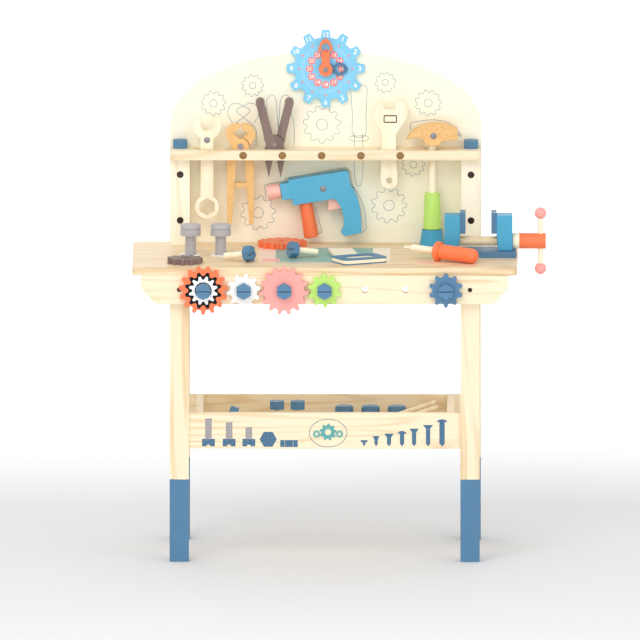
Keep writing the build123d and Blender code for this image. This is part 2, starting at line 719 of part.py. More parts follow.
def make_drill_body():
    nose = polygon((DRILL_NOSE_X, -7.8), (DRILL_NOSE_X, 17.5), (-50, 17.5), (-50, -7.8))
    barrel = polygon((-51.6, 21.9), (38, 21.9), (41.5, 20), (43, 16), (42.5, 0), (20, -18), (-49.9, -18.4))
    front = Spline(
        (-11.8, -18.3), (-7, -15.7), (3, -15), (14.9, -19.2), (22.4, -33.2), (24, -49.1), (21.5, -66)
    )
    heel = Polyline((21.5, -66), (16.4, -72), (20.5, -79), (47.8, -78))
    back = Spline((47.8, -78), (51, -47.9), (49.6, -22), (41.5, 0.5))
    cap = Polyline((41.5, 0.5), (30, 10), (-11.8, 10), (-11.8, -18.3))
    grip = outline_of(front, heel, back, cap)
    outline = nose + barrel + grip
    half = DRILL_THICKNESS / 2
    body = upright(outline, half, DRILL_THICKNESS)
    body -= rod(DRILL_SPINDLE_RADIUS + RUNNING_GAP, (DRILL_NOSE_X, 0, DRILL_CHUCK_Z), (-45, 0, DRILL_CHUCK_Z))
    body -= rod(SIDE_HANDLE_TENON, (SIDE_HANDLE_X, 0, -20), (SIDE_HANDLE_X, 0, -10))
    body -= board(-1, 33, -TRIGGER_POCKET, TRIGGER_POCKET, -37, -11.5)
    body -= rod(DRILL_PEG_RADIUS + 0.3, (0, half - 12, 0), (0, half, 0))
    return [in_drill(body)]


DRILL_SPINDLE_RADIUS = 4
SIDE_HANDLE_X = -30.5
SIDE_HANDLE_TENON = 5
TRIGGER_POCKET = 6.1


def make_drill_chuck():
    tip = DRILL_NOSE_X - 21.5
    seat = DRILL_NOSE_X - 0.3
    chuck = rod(DRILL_CHUCK_RADIUS, (tip, 0, DRILL_CHUCK_Z), (seat, 0, DRILL_CHUCK_Z))
    chuck = chamfer(chuck.edges().filter_by(GeomType.CIRCLE), 0.8)
    chuck += rod(DRILL_SPINDLE_RADIUS, (seat - 1, 0, DRILL_CHUCK_Z), (-46, 0, DRILL_CHUCK_Z))
    return [in_drill(chuck - rod(2.5, (tip, 0, DRILL_CHUCK_Z), (tip + 12, 0, DRILL_CHUCK_Z)))]


def make_drill_trigger():
    """A finger lever with a hollow front edge; its rear end runs in the body's pocket."""
    front = Spline((1.2, -12), (4, -22), (3.6, -29), (0.9, -35.8))
    rest = Polyline((0.9, -35.8), (28, -35.8), (28, -12), (1.2, -12))
    half = TRIGGER_POCKET - 0.2
    return [in_drill(upright(outline_of(front, rest), half, 2 * half))]


def make_drill_side_handle():
    grip = cone(11.6, 9.8, (SIDE_HANDLE_X, 0, -74), (SIDE_HANDLE_X, 0, -18.5))
    grip = fillet(grip.edges().filter_by(GeomType.CIRCLE).sort_by(Axis.Z)[0], 3)
    return [in_drill(grip + rod(SIDE_HANDLE_TENON, (SIDE_HANDLE_X, 0, -19), (SIDE_HANDLE_X, 0, -11)))]


def make_drill_peg():
    """A short dowel in the back panel, on which the drill hangs."""
    tip = DRILL_FRONT + DRILL_THICKNESS - 11
    return [rod(DRILL_PEG_RADIUS, (DRILL_X, tip, DRILL_Z), (DRILL_X, TABLE_BACK, DRILL_Z))]


# ---- Vise ----
JAW_FRONT = VISE_Y - JAW_DEPTH / 2
JAW_BACK = VISE_Y + JAW_DEPTH / 2
FIXED_PLATE_X = (210.5, 218.7)
MOVING_PLATE_X = (258.9, 266.9)
MOVING_JAW_END = 291.8
JAW_LIFT_GAP = 0.2
COLLAR_RADIUS = 12.3


def make_vise_base():
    start, end = VISE_BASE_X
    half = VISE_BASE_DEPTH / 2
    base = board(start, end, VISE_Y - half, VISE_Y + half, TABLE_TOP, VISE_BASE_TOP)
    return [fillet(base.edges().filter_by(Axis.Z), 4)]


def jaw_clearance(x0, x1):
    """The screw's running hole between two places."""
    return rod(SCREW_RADIUS + RUNNING_GAP, (x0, VISE_Y, SCREW_Z), (x1, VISE_Y, SCREW_Z))


def make_vise_fixed_jaw():
    """A block whose right side hollows out below the face plate."""
    x0, x1 = VISE_BASE_X[0], FIXED_PLATE_X[0]
    outline = polygon((x0, VISE_BASE_TOP), (x0, JAW_TOP), (x1, JAW_TOP), (x1, 501), (x1 - 3.2, VISE_BASE_TOP))
    return [upright(outline, JAW_BACK, JAW_DEPTH) - jaw_clearance(x0, x1)]


def make_vise_fixed_plate():
    x0, x1 = FIXED_PLATE_X
    plate = board(x0, x1, JAW_FRONT, JAW_BACK, 500.8, 533.7)
    return [plate]


def make_vise_moving_jaw():
    x0, x1 = MOVING_PLATE_X[1], MOVING_JAW_END
    low = VISE_BASE_TOP + JAW_LIFT_GAP
    outline = polygon((x0 + 3.3, low), (x0, 501), (x0, JAW_TOP), (x1, JAW_TOP), (x1, low))
    return [upright(outline, JAW_BACK, JAW_DEPTH) - jaw_clearance(x0, x1)]


def make_vise_moving_plate():
    x0, x1 = MOVING_PLATE_X
    return [board(x0, x1, JAW_FRONT, JAW_BACK, 500.8, 533.7)]


def make_vise_screw():
    """The threaded shaft and its collar, in one piece."""
    start = VISE_BASE_X[0] + 2
    shaft = rod(SCREW_RADIUS, (start, VISE_Y, SCREW_Z), (MOVING_JAW_END + 1, VISE_Y, SCREW_Z))
    collar = rod(COLLAR_RADIUS, (MOVING_JAW_END + 0.5, VISE_Y, SCREW_Z), (302.7, VISE_Y, SCREW_Z))
    return [shaft + collar]


def make_vise_sleeve():
    """The round end block, cross-drilled for the bar."""
    sleeve = rod(COLLAR_RADIUS, (302.7, VISE_Y, SCREW_Z), (SLEEVE_END_X, VISE_Y, SCREW_Z))
    reach = COLLAR_RADIUS + 1
    hole = rod(BAR_RADIUS + RUNNING_GAP, (BAR_X, VISE_Y, SCREW_Z - reach), (BAR_X, VISE_Y, SCREW_Z + reach))
    return [sleeve - hole]


def make_vise_bar():
    ends = [(BAR_X, VISE_Y, SCREW_Z + side * BAR_BALL_REACH) for side in (-1, 1)]
    return [rod(BAR_RADIUS, *ends)]


def make_vise_bar_balls():
    bar = make_vise_bar()[0]
    ball = Sphere(BAR_BALL_RADIUS)
    return [Pos(BAR_X, VISE_Y, SCREW_Z + side * BAR_BALL_REACH) * ball - bar for side in (-1, 1)]


# ---- Loose things on the table ----
TABLE_SCREW_X = (-209.7, -162.7)
TABLE_SCREW_SHAFT = 8.5


def make_table_screws():
    """Thick toy screws that stand in the tabletop's holes."""
    screws = []
    for x in TABLE_SCREW_X:
        shaft = rod(TABLE_SCREW_SHAFT, (x, VISE_Y, TABLE_TOP - 10), (x, VISE_Y, TABLE_TOP + 32))
        head = rod(16, (x, VISE_Y, TABLE_TOP + 31), (x, VISE_Y, TABLE_TOP + 49))
        screws.append(shaft + chamfer(head.edges().filter_by(GeomType.CIRCLE), 0.8))
    return screws


def loose_gear(x, y, teeth, outer, root, phase):
    outline = gear_outline(teeth, outer, root, phase) - Circle(BOLT_RADIUS + 0.4)
    return [flat(Pos(x, y) * outline, TABLE_TOP + 0.02, GEAR_THICKNESS)]


BOLT_LEAN = 8.5


def lying_bolt(x, y, turn):
    """A bolt that lies on its head's corner and its shaft's end; turn is its head's heading."""
    bolt = Pos(x, y, 0) * Rot(0, 0, turn) * Rot(0, 90 - BOLT_LEAN, 0) * Rot(0, 0, 100) * toy_bolt(35)
    return rest_on(bolt, TABLE_TOP)


SAW_X = 53.5
SAW_Y = 51
SAW_TURN = 28
SAW_PLATE = 2
SAW_CORE = 5
SAW_TEETH = 8


def saw_grip():
    """A rounded rectangle with a long finger hole."""
    return RectangleRounded(76, 52, 9) - RectangleRounded(50, 26, 10)


def in_saw(sketch):
    return Pos(SAW_X, SAW_Y) * Rot(0, 0, SAW_TURN) * sketch


def make_saw_blade():
    """The middle layer fills the grip and runs out aslant as the blade, with teeth on its right edge."""
    root_left, tip_left, tip_right, root_right = (-31, 18), (5.9, 116), (40, 99), (11, 18)
    blade = polygon(root_left, tip_left, tip_right, root_right)
    edge = Vector(*tip_right) - Vector(*root_right)
    for index in range(SAW_TEETH):
        start = Vector(*root_right) + edge * ((index + 2.5) / (SAW_TEETH + 3))
        end = start + edge * (1 / (SAW_TEETH + 3))
        notch = (start + end) * 0.5 + Vector(-3, 1)
        blade -= polygon((start.X + 1, start.Y), (notch.X, notch.Y), (end.X + 1, end.Y))
    layer = in_saw(saw_grip() + blade - RectangleRounded(50, 26, 10))
    return [flat(layer, TABLE_TOP + SAW_PLATE + 0.02, SAW_CORE)]


def make_saw_grip_plates():
    grip = in_saw(saw_grip())
    upper = TABLE_TOP + SAW_PLATE + SAW_CORE + 0.02
    return [flat(grip, TABLE_TOP + 0.02, SAW_PLATE), flat(grip, upper, SAW_PLATE)]


DRIVER_X = 176.7
DRIVER_Y = 61
DRIVER_TURN = -27.5
DRIVER_FLANGE = 15.5
DRIVER_HANDLE = 11.8
DRIVER_LENGTH = 58
DRIVER_SHAFT = 5.3


def in_driver(shape):
    """The screwdriver lies on its flange and its handle's end; its own axis is x, handle to +x."""
    droop = math.degrees(math.atan((DRIVER_FLANGE - DRIVER_HANDLE) / DRIVER_LENGTH))
    height = TABLE_TOP + DRIVER_FLANGE + 0.1
    return Pos(DRIVER_X, DRIVER_Y, height) * Rot(0, 0, DRIVER_TURN) * Rot(0, droop, 0) * shape


def make_screwdriver_handle():
    flange = chamfer(rod(DRIVER_FLANGE, (-4, 0, 0), (4, 0, 0)).edges().filter_by(GeomType.CIRCLE), 1.5)
    handle = flange + rod(DRIVER_HANDLE, (0, 0, 0), (DRIVER_LENGTH, 0, 0))
    handle += Pos(DRIVER_LENGTH, 0, 0) * Sphere(DRIVER_HANDLE)
    return [in_driver(handle - rod(DRIVER_SHAFT, (-5, 0, 0), (20, 0, 0)))]


def make_screwdriver_shaft():
    """A round shaft with a flattened blade end."""
    shaft = rod(DRIVER_SHAFT, (-DRIVER_LENGTH, 0, 0), (20, 0, 0))
    for side in (-1, 1):
        z0, z1 = sorted((side * 1.6, side * 8))
        shaft -= board(-DRIVER_LENGTH - 1, -DRIVER_LENGTH + 12, -8, 8, z0, z1)
    return [in_driver(shaft)]


NODES = {
    "tabletop": make_tabletop,
    "front_apron": make_front_apron,
    "rear_aprons": make_rear_aprons,
    "legs": make_legs,
    "back_panel": make_back_panel,
    "shelf_posts": make_shelf_posts,
    "tool_shelf": make_tool_shelf,
    "frame_screws": make_frame_screws,
    "tray_front": make_tray_front,
    "tray_back": make_tray_back,
    "tray_ends": make_tray_ends,
    "tray_floor": make_tray_floor,
    "tray_bolts": make_tray_bolts,
    "tray_pegs": make_tray_pegs,
    "tray_strips": make_tray_strips,
    "toy_bolts": make_toy_bolts,
    "gear_nuts": make_gear_nuts,
    "clock_dial": make_clock_dial,
    "clock_minute_hand": make_minute_hand,
    "clock_hour_hand": make_hour_hand,
    "clock_pivot": make_clock_pivot,
    "spanner": make_spanner,
    "pliers_left_half": make_pliers_left_half,
    "pliers_right_half": make_pliers_right_half,
    "pliers_pin": lambda: pivot_pin(PLIERS_PIVOT, PLIERS_PIN_RADIUS),
    "cutters_left_half": lambda: cutters_half(-1, True),
    "cutters_right_half": lambda: cutters_half(1, False),
    "cutters_pin": lambda: pivot_pin(CUTTERS_PIVOT, CUTTERS_PIN_RADIUS),
    "adjustable_wrench": make_adjustable_wrench,
    "hammer_head": make_hammer_head,
    "hammer_handle": make_hammer_handle,
    "hammer_grip": make_hammer_grip,
    "hammer_rest": make_hammer_rest,
    "drill_body": make_drill_body,
    "drill_chuck": make_drill_chuck,
    "drill_trigger": make_drill_trigger,
    "drill_side_handle": make_drill_side_handle,
    "drill_peg": make_drill_peg,
    "vise_base": make_vise_base,
    "vise_fixed_jaw": make_vise_fixed_jaw,
    "vise_fixed_plate": make_vise_fixed_plate,
    "vise_moving_jaw": make_vise_moving_jaw,
    "vise_moving_plate": make_vise_moving_plate,
    "vise_screw": make_vise_screw,
    "vise_sleeve": make_vise_sleeve,
    "vise_bar": make_vise_bar,
    "vise_bar_balls": make_vise_bar_balls,
    "saw_blade": make_saw_blade,
    "saw_grip_plates": make_saw_grip_plates,
    "screwdriver_handle": make_screwdriver_handle,
    "screwdriver_shaft": make_screwdriver_shaft,
    "table_screws": make_table_screws,
    "loose_orange_gear": lambda: loose_gear(-67.5, 220, **LARGE_GEAR, phase=5),
    "loose_brown_gear": lambda: loose_gear(-218, 37, 11, 28, 22.3, 0),
    "loose_bolts": lambda: [lying_bolt(-124.3, 52, -24), lying_bolt(-44, 95, -156.5)],
}
for gear in GEARS:
    NODES[gear] = lambda gear=gear: make_gear(gear)

os.makedirs("parts", exist_ok=True)
for name, make in NODES.items():
    solids = [TO_ROW_FRAME * shape for shape in make()]
    export_step(Compound(label=name, children=solids), f"parts/{name}.step")
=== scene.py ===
import bmesh
import bpy
import math
from mathutils import Matrix, Vector
from mathutils.geometry import tessellate_polygon


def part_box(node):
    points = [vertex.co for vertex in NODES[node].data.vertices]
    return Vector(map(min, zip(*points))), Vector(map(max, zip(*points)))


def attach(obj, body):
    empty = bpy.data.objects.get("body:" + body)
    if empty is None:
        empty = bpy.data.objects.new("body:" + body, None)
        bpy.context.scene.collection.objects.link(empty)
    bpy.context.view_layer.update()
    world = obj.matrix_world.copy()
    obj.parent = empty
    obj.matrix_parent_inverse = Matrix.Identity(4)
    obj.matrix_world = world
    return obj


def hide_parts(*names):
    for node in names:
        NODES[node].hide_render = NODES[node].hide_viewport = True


# Looks for the wooden toy tool bench. Places are written in millimetres in the bench's own frame: x from the
# centre line, y from the front face of the front legs, z from the floor. at() turns them into the row frame.

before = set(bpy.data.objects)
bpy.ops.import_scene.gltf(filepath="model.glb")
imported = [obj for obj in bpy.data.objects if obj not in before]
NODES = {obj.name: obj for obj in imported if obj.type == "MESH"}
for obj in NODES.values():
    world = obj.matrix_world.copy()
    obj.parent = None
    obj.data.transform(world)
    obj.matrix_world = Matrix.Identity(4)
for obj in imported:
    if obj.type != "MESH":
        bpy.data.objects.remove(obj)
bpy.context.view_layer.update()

# Sizes below are in millimetres, and MM turns them into metres.
MM = 0.001
LEGS_LOW, LEGS_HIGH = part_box("legs")
CENTRE_X = (LEGS_LOW.x + LEGS_HIGH.x) / 2
FRONT_Y = LEGS_LOW.y
INK_RISE = 0.12  # how far a print stands above its surface
INK_ROOT = 0.1  # how far it reaches below


def at(x, y, z):
    """A place in the row frame, from millimetres in the bench's frame."""
    return Vector((CENTRE_X + x * MM, FRONT_Y + y * MM, z * MM))


def bench_box(node):
    """A CAD node's lowest and highest corner in the bench's frame, in millimetres."""
    origin = at(0, 0, 0)
    low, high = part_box(node)
    return (low - origin) / MM, (high - origin) / MM


# ---- Shader building ----
def linear(red, green, blue):
    """A display colour (0 to 255) as the linear colour that shaders use."""
    def channel(value):
        value /= 255
        return value / 12.92 if value <= 0.04045 else ((value + 0.055) / 1.055) ** 2.4
    return (channel(red), channel(green), channel(blue), 1.0)


def add(tree, kind, inputs=None, **settings):
    """Makes a shader node. An input is a plain value or another node's output."""
    made = tree.nodes.new("ShaderNode" + kind)
    for key, value in settings.items():
        setattr(made, key, value)
    for key, value in (inputs or {}).items():
        if isinstance(value, bpy.types.NodeSocket):
            tree.links.new(value, made.inputs[key])
        else:
            made.inputs[key].default_value = value
    return made


def calc(tree, operation, a, b=0.0, clamp=False):
    return add(tree, "Math", {0: a, 1: b}, operation=operation, use_clamp=clamp).outputs[0]


def mix(tree, factor, a, b):
    return add(tree, "Mix", {0: factor, 6: a, 7: b}, data_type="RGBA").outputs[2]


def remap(tree, value, low, high, to_low=0.0, to_high=1.0):
    sockets = {"Value": value, "From Min": low, "From Max": high, "To Min": to_low, "To Max": to_high}
    return add(tree, "MapRange", sockets, clamp=True).outputs[0]


def place_of(tree):
    """The shaded point in the object's own coordinates, which are the row frame at rest."""
    return add(tree, "TexCoord").outputs["Object"]


def stretched(tree, axis, along, across, turn=0.0):
    """Object coordinates with their own scale along one axis, so that noise draws fibres along it."""
    scale = [across, across, across]
    scale["XYZ".index(axis)] = along
    turned = add(tree, "Mapping", {"Vector": place_of(tree), "Rotation": (0, 0, turn)}).outputs[0]
    return add(tree, "Mapping", {"Vector": turned, "Scale": scale}).outputs[0]


def noise(tree, vector, scale=1.0, detail=3.0, roughness=0.55, distortion=0.0):
    sockets = {"Vector": vector, "Scale": scale, "Detail": detail, "Roughness": roughness}
    return add(tree, "TexNoise", {**sockets, "Distortion": distortion}).outputs[0]


def edge_mask(tree, radius):
    """One on worn edges and corners, zero on open faces, broken up by noise."""
    rounded = add(tree, "Bevel", {"Radius": radius * MM}, samples=4).outputs[0]
    plain = add(tree, "NewGeometry").outputs["Normal"]
    facing = add(tree, "VectorMath", {0: rounded, 1: plain}, operation="DOT_PRODUCT").outputs["Value"]
    edge = remap(tree, facing, 0.995, 0.86)
    patches = remap(tree, noise(tree, place_of(tree), 90.0, 4.0), 0.35, 0.62)
    return calc(tree, "MULTIPLY", edge, patches)


def start_material(name):
    material = bpy.data.materials.new(name)
    material.use_nodes = True
    tree = material.node_tree
    tree.nodes.clear()
    shader = add(tree, "BsdfPrincipled")
    output = add(tree, "OutputMaterial")
    tree.links.new(shader.outputs[0], output.inputs["Surface"])
    return material, tree, shader


def connect(tree, shader, values):
    for key, value in values.items():
        if isinstance(value, bpy.types.NodeSocket):
            tree.links.new(value, shader.inputs[key])
        else:
            shader.inputs[key].default_value = value


# ---- Wood ----
# Each wood's light colour, dark colour and strength of figure.
WOODS = {
    "pale": (linear(250, 235, 204), linear(226, 194, 146), 1.15),
    "table": (linear(243, 220, 182), linear(212, 176, 128), 1.3),
    "panel": (linear(252, 247, 226), linear(246, 238, 211), 0.5),
    "post": (linear(255, 249, 228), linear(240, 224, 188), 0.8),
    "cream": (linear(253, 243, 217), linear(240, 221, 180), 0.7),
    "tan": (linear(244, 198, 132), linear(196, 140, 76), 0.75),
    "brown": (linear(134, 113, 108), linear(104, 84, 80), 0.6),
    # Painted shade: a darker wood for the recessed window of the adjustable wrench.
    "slot": (linear(150, 132, 96), linear(120, 102, 70), 0.5),
    # Painted shade: a darker wood for the walls of the shelf's holes.
    "bore_painted_shade": (linear(226, 196, 146), linear(190, 156, 104), 0.6),
}
# How strongly the growth rings show, where that isn't the usual strength.
STREAKS = {"tan": 0.15, "bore_painted_shade": 0.2}
USUAL_STREAKS = 0.85


def wood_colour(tree, kind, axis, turn=0.0):
    """Grain colour, and the fibre pattern that roughness and bump follow."""
    light, dark, figure = WOODS[kind]
    field = noise(tree, stretched(tree, axis, 1.3, 17.0, turn), 1.0, 2.0, 0.5, 0.35)
    rings = calc(tree, "SINE", calc(tree, "MULTIPLY", field, 62.0))
    rings = remap(tree, rings, 0.15, 1.0)
    broad = noise(tree, stretched(tree, axis, 2.5, 30.0, turn), 1.0, 3.0, 0.6)
    broad = remap(tree, broad, 0.35, 0.7)
    fibres = noise(tree, stretched(tree, axis, 24.0, 900.0, turn), 1.0, 3.0, 0.65)
    fibres = remap(tree, fibres, 0.38, 0.72)
    flecks = noise(tree, stretched(tree, axis, 160.0, 1500.0, turn), 1.0, 1.0)
    flecks = remap(tree, flecks, 0.66, 0.78)
    strength = STREAKS.get(kind, USUAL_STREAKS) * figure
    streaks = calc(tree, "MULTIPLY", rings, calc(tree, "MULTIPLY", broad, strength))
    amount = calc(tree, "ADD", streaks, calc(tree, "MULTIPLY", fibres, 0.16 * figure))
    amount = calc(tree, "ADD", amount, calc(tree, "MULTIPLY", flecks, 0.35 * figure), clamp=True)
    if kind == "tan":
        pores = noise(tree, stretched(tree, axis, 260.0, 800.0, turn), 1.0, 2.0, 0.7)
        pores = remap(tree, pores, 0.5, 0.66)
        amount = calc(tree, "ADD", amount, calc(tree, "MULTIPLY", pores, 0.6), clamp=True)
    return mix(tree, amount, light, dark), fibres


def wood_finish(tree, shader, colour, fibres, rough=0.5, depth=0.16):
    """Worn pale edges, and a roughness and bump that follow the fibres."""
    edges = edge_mask(tree, 1.0)
    worn = mix(tree, calc(tree, "MULTIPLY", edges, 0.3), colour, linear(206, 170, 122))
    roughness = remap(tree, fibres, 0.0, 1.0, rough - 0.06, rough + 0.12)
    bump = add(tree, "Bump", {"Strength": depth, "Distance": 0.3 * MM, "Height": fibres})
    soft = add(tree, "Bevel", {"Radius": 0.7 * MM, "Normal": bump.outputs[0]}, samples=4)
    connect(tree, shader, {"Base Color": worn, "Roughness": roughness, "Normal": soft.outputs[0]})
    shader.inputs["Specular IOR Level"].default_value = 0.35


def wood(name, kind, axis, turn=0.0):
    material, tree, shader = start_material(name)
    colour, fibres = wood_colour(tree, kind, axis, turn)
    wood_finish(tree, shader, colour, fibres)
    return material


# ---- Paint over wood ----
PAINT_ROUGHNESS = 0.46
LEG_DIP = 130  # height of the legs' blue ends
LEG_DIP_WAVE = 1.6


def paint_colour(tree, colour, axis):
    """Thin matt paint: slow changes of tone, and fibres that show through faintly."""
    tone = remap(tree, noise(tree, place_of(tree), 24.0, 3.0), 0.3, 0.7)
    fibres = remap(tree, noise(tree, stretched(tree, axis, 30.0, 900.0), 1.0, 3.0, 0.6), 0.35, 0.75)
    deep = tuple(channel * 0.86 for channel in colour[:3]) + (1.0,)
    varied = mix(tree, calc(tree, "MULTIPLY", tone, 0.45), colour, deep)
    varied = mix(tree, calc(tree, "MULTIPLY", fibres, 0.28), varied, deep)
    return varied, fibres


def paint_finish(tree, shader, varied, fibres, pale_edge, rough):
    edges = edge_mask(tree, 0.8)
    worn = mix(tree, calc(tree, "MULTIPLY", edges, 0.32), varied, pale_edge)
    smudges = noise(tree, place_of(tree), 55.0, 4.0)
    roughness = remap(tree, smudges, 0.3, 0.7, rough - 0.07, rough + 0.1)
    grit = noise(tree, place_of(tree), 1400.0, 2.0)
    height = calc(tree, "ADD", calc(tree, "MULTIPLY", fibres, 0.7), grit)
    bump = add(tree, "Bump", {"Strength": 0.1, "Distance": 0.25 * MM, "Height": height})
    soft = add(tree, "Bevel", {"Radius": 0.7 * MM, "Normal": bump.outputs[0]}, samples=4)
    connect(tree, shader, {"Base Color": worn, "Roughness": roughness, "Normal": soft.outputs[0]})
    connect(tree, shader, {"Coat Weight": 0.08, "Coat Roughness": 0.35, "Specular IOR Level": 0.4})


def paint(name, colour):
    material, tree, shader = start_material(name)
    varied, fibres = paint_colour(tree, colour, "Z")
    pale = tuple(0.55 * channel + 0.45 * wooden for channel, wooden in zip(colour, WOODS["pale"][0]))
    paint_finish(tree, shader, varied, fibres, pale, PAINT_ROUGHNESS)
    return material


def dipped_leg(name):
    """Pale wood whose lower end is dipped in blue paint, with a slightly uneven border."""
    material, tree, shader = start_material(name)
    natural, fibres = wood_colour(tree, "pale", "Z")
    blue, grain = paint_colour(tree, BLUE, "Z")
    height = add(tree, "SeparateXYZ", {0: place_of(tree)}).outputs[2]
    wave = calc(tree, "MULTIPLY", noise(tree, place_of(tree), 160.0, 2.0), LEG_DIP_WAVE * MM)
    above = remap(tree, calc(tree, "ADD", height, wave), LEG_DIP * MM, (LEG_DIP + 0.5) * MM)
    colour = mix(tree, above, blue, natural)
    wood_finish(tree, shader, colour, mix_value(tree, above, grain, fibres), 0.5, 0.13)
    return material


def mix_value(tree, factor, a, b):
    return add(tree, "Mix", {0: factor, 2: a, 3: b}).outputs[0]


def band(tree, value, low, high, soft=0.4):
    """One between low and high, which are in metres, with soft ends."""
    rise = remap(tree, value, low - soft * MM, low)
    fall = remap(tree, value, high, high + soft * MM, 1.0, 0.0)
    return calc(tree, "MULTIPLY", rise, fall)


def printed_table(name):
    """The tabletop's grain with a faded printed work mat on its upper face."""
    material, tree, shader = start_material(name)
    colour, fibres = wood_colour(tree, "table", "X")
    x, y, z = add(tree, "SeparateXYZ", {0: place_of(tree)}).outputs[:3]
    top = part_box("tabletop")[1].z
    top_face = remap(tree, z, top - 1.0 * MM, top - 0.6 * MM)
    fade = remap(tree, noise(tree, stretched(tree, "X", 20.0, 300.0), 1.0, 3.0), 0.3, 0.62, 0.72, 1.0)
    for x0, x1, y0, y1, ink, strength in TABLE_PRINTS:
        low, high = at(x0, y0, 0), at(x1, y1, 0)
        inside = calc(tree, "MULTIPLY", band(tree, x, low.x, high.x), band(tree, y, low.y, high.y))
        inside = calc(tree, "MULTIPLY", inside, top_face)
        inside = calc(tree, "MULTIPLY", inside, calc(tree, "MULTIPLY", fade, strength))
        colour = mix(tree, inside, colour, ink)
    wood_finish(tree, shader, colour, fibres, 0.42)
    return material


# ---- Metal and ink ----
def metal(name, colour, rough, metallic):
    material, tree, shader = start_material(name)
    patches = noise(tree, place_of(tree), 380.0, 4.0)
    deep = tuple(0.6 * c for c in colour[:3]) + (1.0,)
    tone = mix(tree, remap(tree, patches, 0.3, 0.7, 0.0, 0.5), colour, deep)
    worn = mix(tree, calc(tree, "MULTIPLY", edge_mask(tree, 0.4), 0.5), tone, linear(196, 192, 190))
    bump = add(tree, "Bump", {"Strength": 0.08, "Distance": 0.1 * MM, "Height": patches})
    connect(tree, shader, {"Base Color": worn, "Normal": bump.outputs[0], "Metallic": metallic})
    connect(tree, shader, {"Roughness": remap(tree, patches, 0.3, 0.7, rough - 0.08, rough + 0.12)})
    return material


def ink(name, colour, under=None):
    """Printed ink with worn, slightly uneven cover; what lies under it shows through a little."""
    material, tree, shader = start_material(name)
    wear = remap(tree, noise(tree, place_of(tree), 520.0, 4.0), 0.3, 0.55, 0.82, 1.0)
    shown = mix(tree, wear, under or linear(252, 240, 212), colour)
    bump = add(tree, "Bump", {"Strength": 0.06, "Distance": 0.1 * MM, "Height": wear})
    roughness = remap(tree, wear, 0.7, 1.0, 0.62, 0.5)
    connect(tree, shader, {"Base Color": shown, "Roughness": roughness, "Normal": bump.outputs[0]})
    shader.inputs["Specular IOR Level"].default_value = 0.2
    return material


BLUE = linear(84, 131, 167)
VISE_BLUE = linear(68, 166, 204)
DRILL_BLUE = linear(84, 178, 216)
DARK_BLUE = linear(76, 122, 160)
DIAL_BLUE = linear(132, 208, 244)
ORANGE = linear(252, 126, 76)
PINK = linear(255, 172, 164)
GREEN = linear(196, 238, 118)
WHITE = linear(255, 253, 248)
GREY = linear(186, 183, 186)
TEAL = linear(112, 178, 172)
OUTLINE_BLUE = linear(136, 162, 174)
PALE_PINK = linear(255, 196, 184)
# Printed areas of the tabletop: x from and to, y from and to, colour, strength.
TABLE_PRINTS = (
    (-104, -77, 50, 203, linear(255, 226, 214), 0.75),
    (74, 101, 50, 203, linear(255, 250, 236), 0.75),
    (-77, 74, 50, 203, TEAL, 0.95),
    (-77, 74, 24, 50, linear(206, 196, 180), 0.6),
    (-97, -70, 55, 88, PINK, 0.9),
    (143, 171, 33, 66, PINK, 0.55),
    (220, 233, -4, 17, PINK, 0.45),
)


def all_materials():
    made = {}
    for name, kind, axis in (
        ("pale_x", "pale", "X"), ("pale_y", "pale", "Y"), ("pale_z", "pale", "Z"),
        ("panel", "panel", "X"), ("post_z", "post", "Z"),
        ("cream_z", "cream", "Z"), ("cream_x", "cream", "X"), ("tan_z", "tan", "Z"), ("tan_x", "tan", "X"),
        ("brown_z", "brown", "Z"), ("brown_x", "brown", "X"),
    ):
        made[name] = wood("wood_" + name, kind, axis)
    for name, colour in (
        ("blue", BLUE), ("vise_blue", VISE_BLUE), ("drill_blue", DRILL_BLUE), ("dark_blue", DARK_BLUE),
        ("dial_blue", DIAL_BLUE), ("orange", ORANGE), ("pink", PINK), ("green", GREEN),
        ("pale_pink", PALE_PINK), ("white", WHITE), ("grey", GREY),
    ):
        made[name] = paint("paint_" + name, colour)
    made["leg"] = dipped_leg("wood_dipped_leg")
    made["table"] = printed_table("wood_tabletop")
    made["driver_shaft"] = wood("wood_driver_shaft", "cream", "X", math.radians(27.5))
    made["black_steel"] = metal("black_screw", linear(62, 52, 46), 0.45, 0.75)
    # Painted shade for the walls of the shelf's holes.
    made["bore_painted_shade"] = wood("wood_bore_shade", "bore_painted_shade", "Y")
    # Painted shade for the wrench's recessed window.
    made["slot"] = wood("wood_slot", "slot", "Z")
    made["rivet"] = metal("grey_rivet", linear(150, 148, 152), 0.42, 0.8)
    made["ink_outline"] = ink("ink_outline", OUTLINE_BLUE)
    made["ink_blue"] = ink("ink_blue", linear(56, 106, 142))
    made["ink_grey"] = ink("ink_grey", linear(116, 112, 116))
    made["ink_silver"] = ink("ink_silver", linear(176, 172, 176))
    made["ink_teal"] = ink("ink_teal", linear(84, 168, 168))
    made["ink_white"] = ink("ink_white", linear(255, 255, 255), linear(190, 228, 246))
    made["ink_black"] = ink("ink_black", linear(10, 10, 12), linear(40, 36, 34))
    made["ink_pink"] = ink("ink_pink", linear(250, 140, 134), linear(240, 170, 170))
    return made


M = all_materials()


# ---- Mesh building ----
def new_piece(name, mesh_builder, body, material, crease=None):
    """A piece from a bmesh that rides on a body. Edges sharper than crease degrees stay sharp."""
    bmesh.ops.remove_doubles(mesh_builder, verts=mesh_builder.verts, dist=1e-7)
    bmesh.ops.recalc_face_normals(mesh_builder, faces=mesh_builder.faces)
    mesh = bpy.data.meshes.new(name)
    mesh_builder.to_mesh(mesh)
    mesh_builder.free()
    mesh.materials.append(material)
    if crease:
        mesh.shade_smooth()
        mesh.set_sharp_from_angle(angle=math.radians(crease))
    piece = bpy.data.objects.new(name, mesh)
    bpy.context.scene.collection.objects.link(piece)
    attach(piece, body)
    return piece


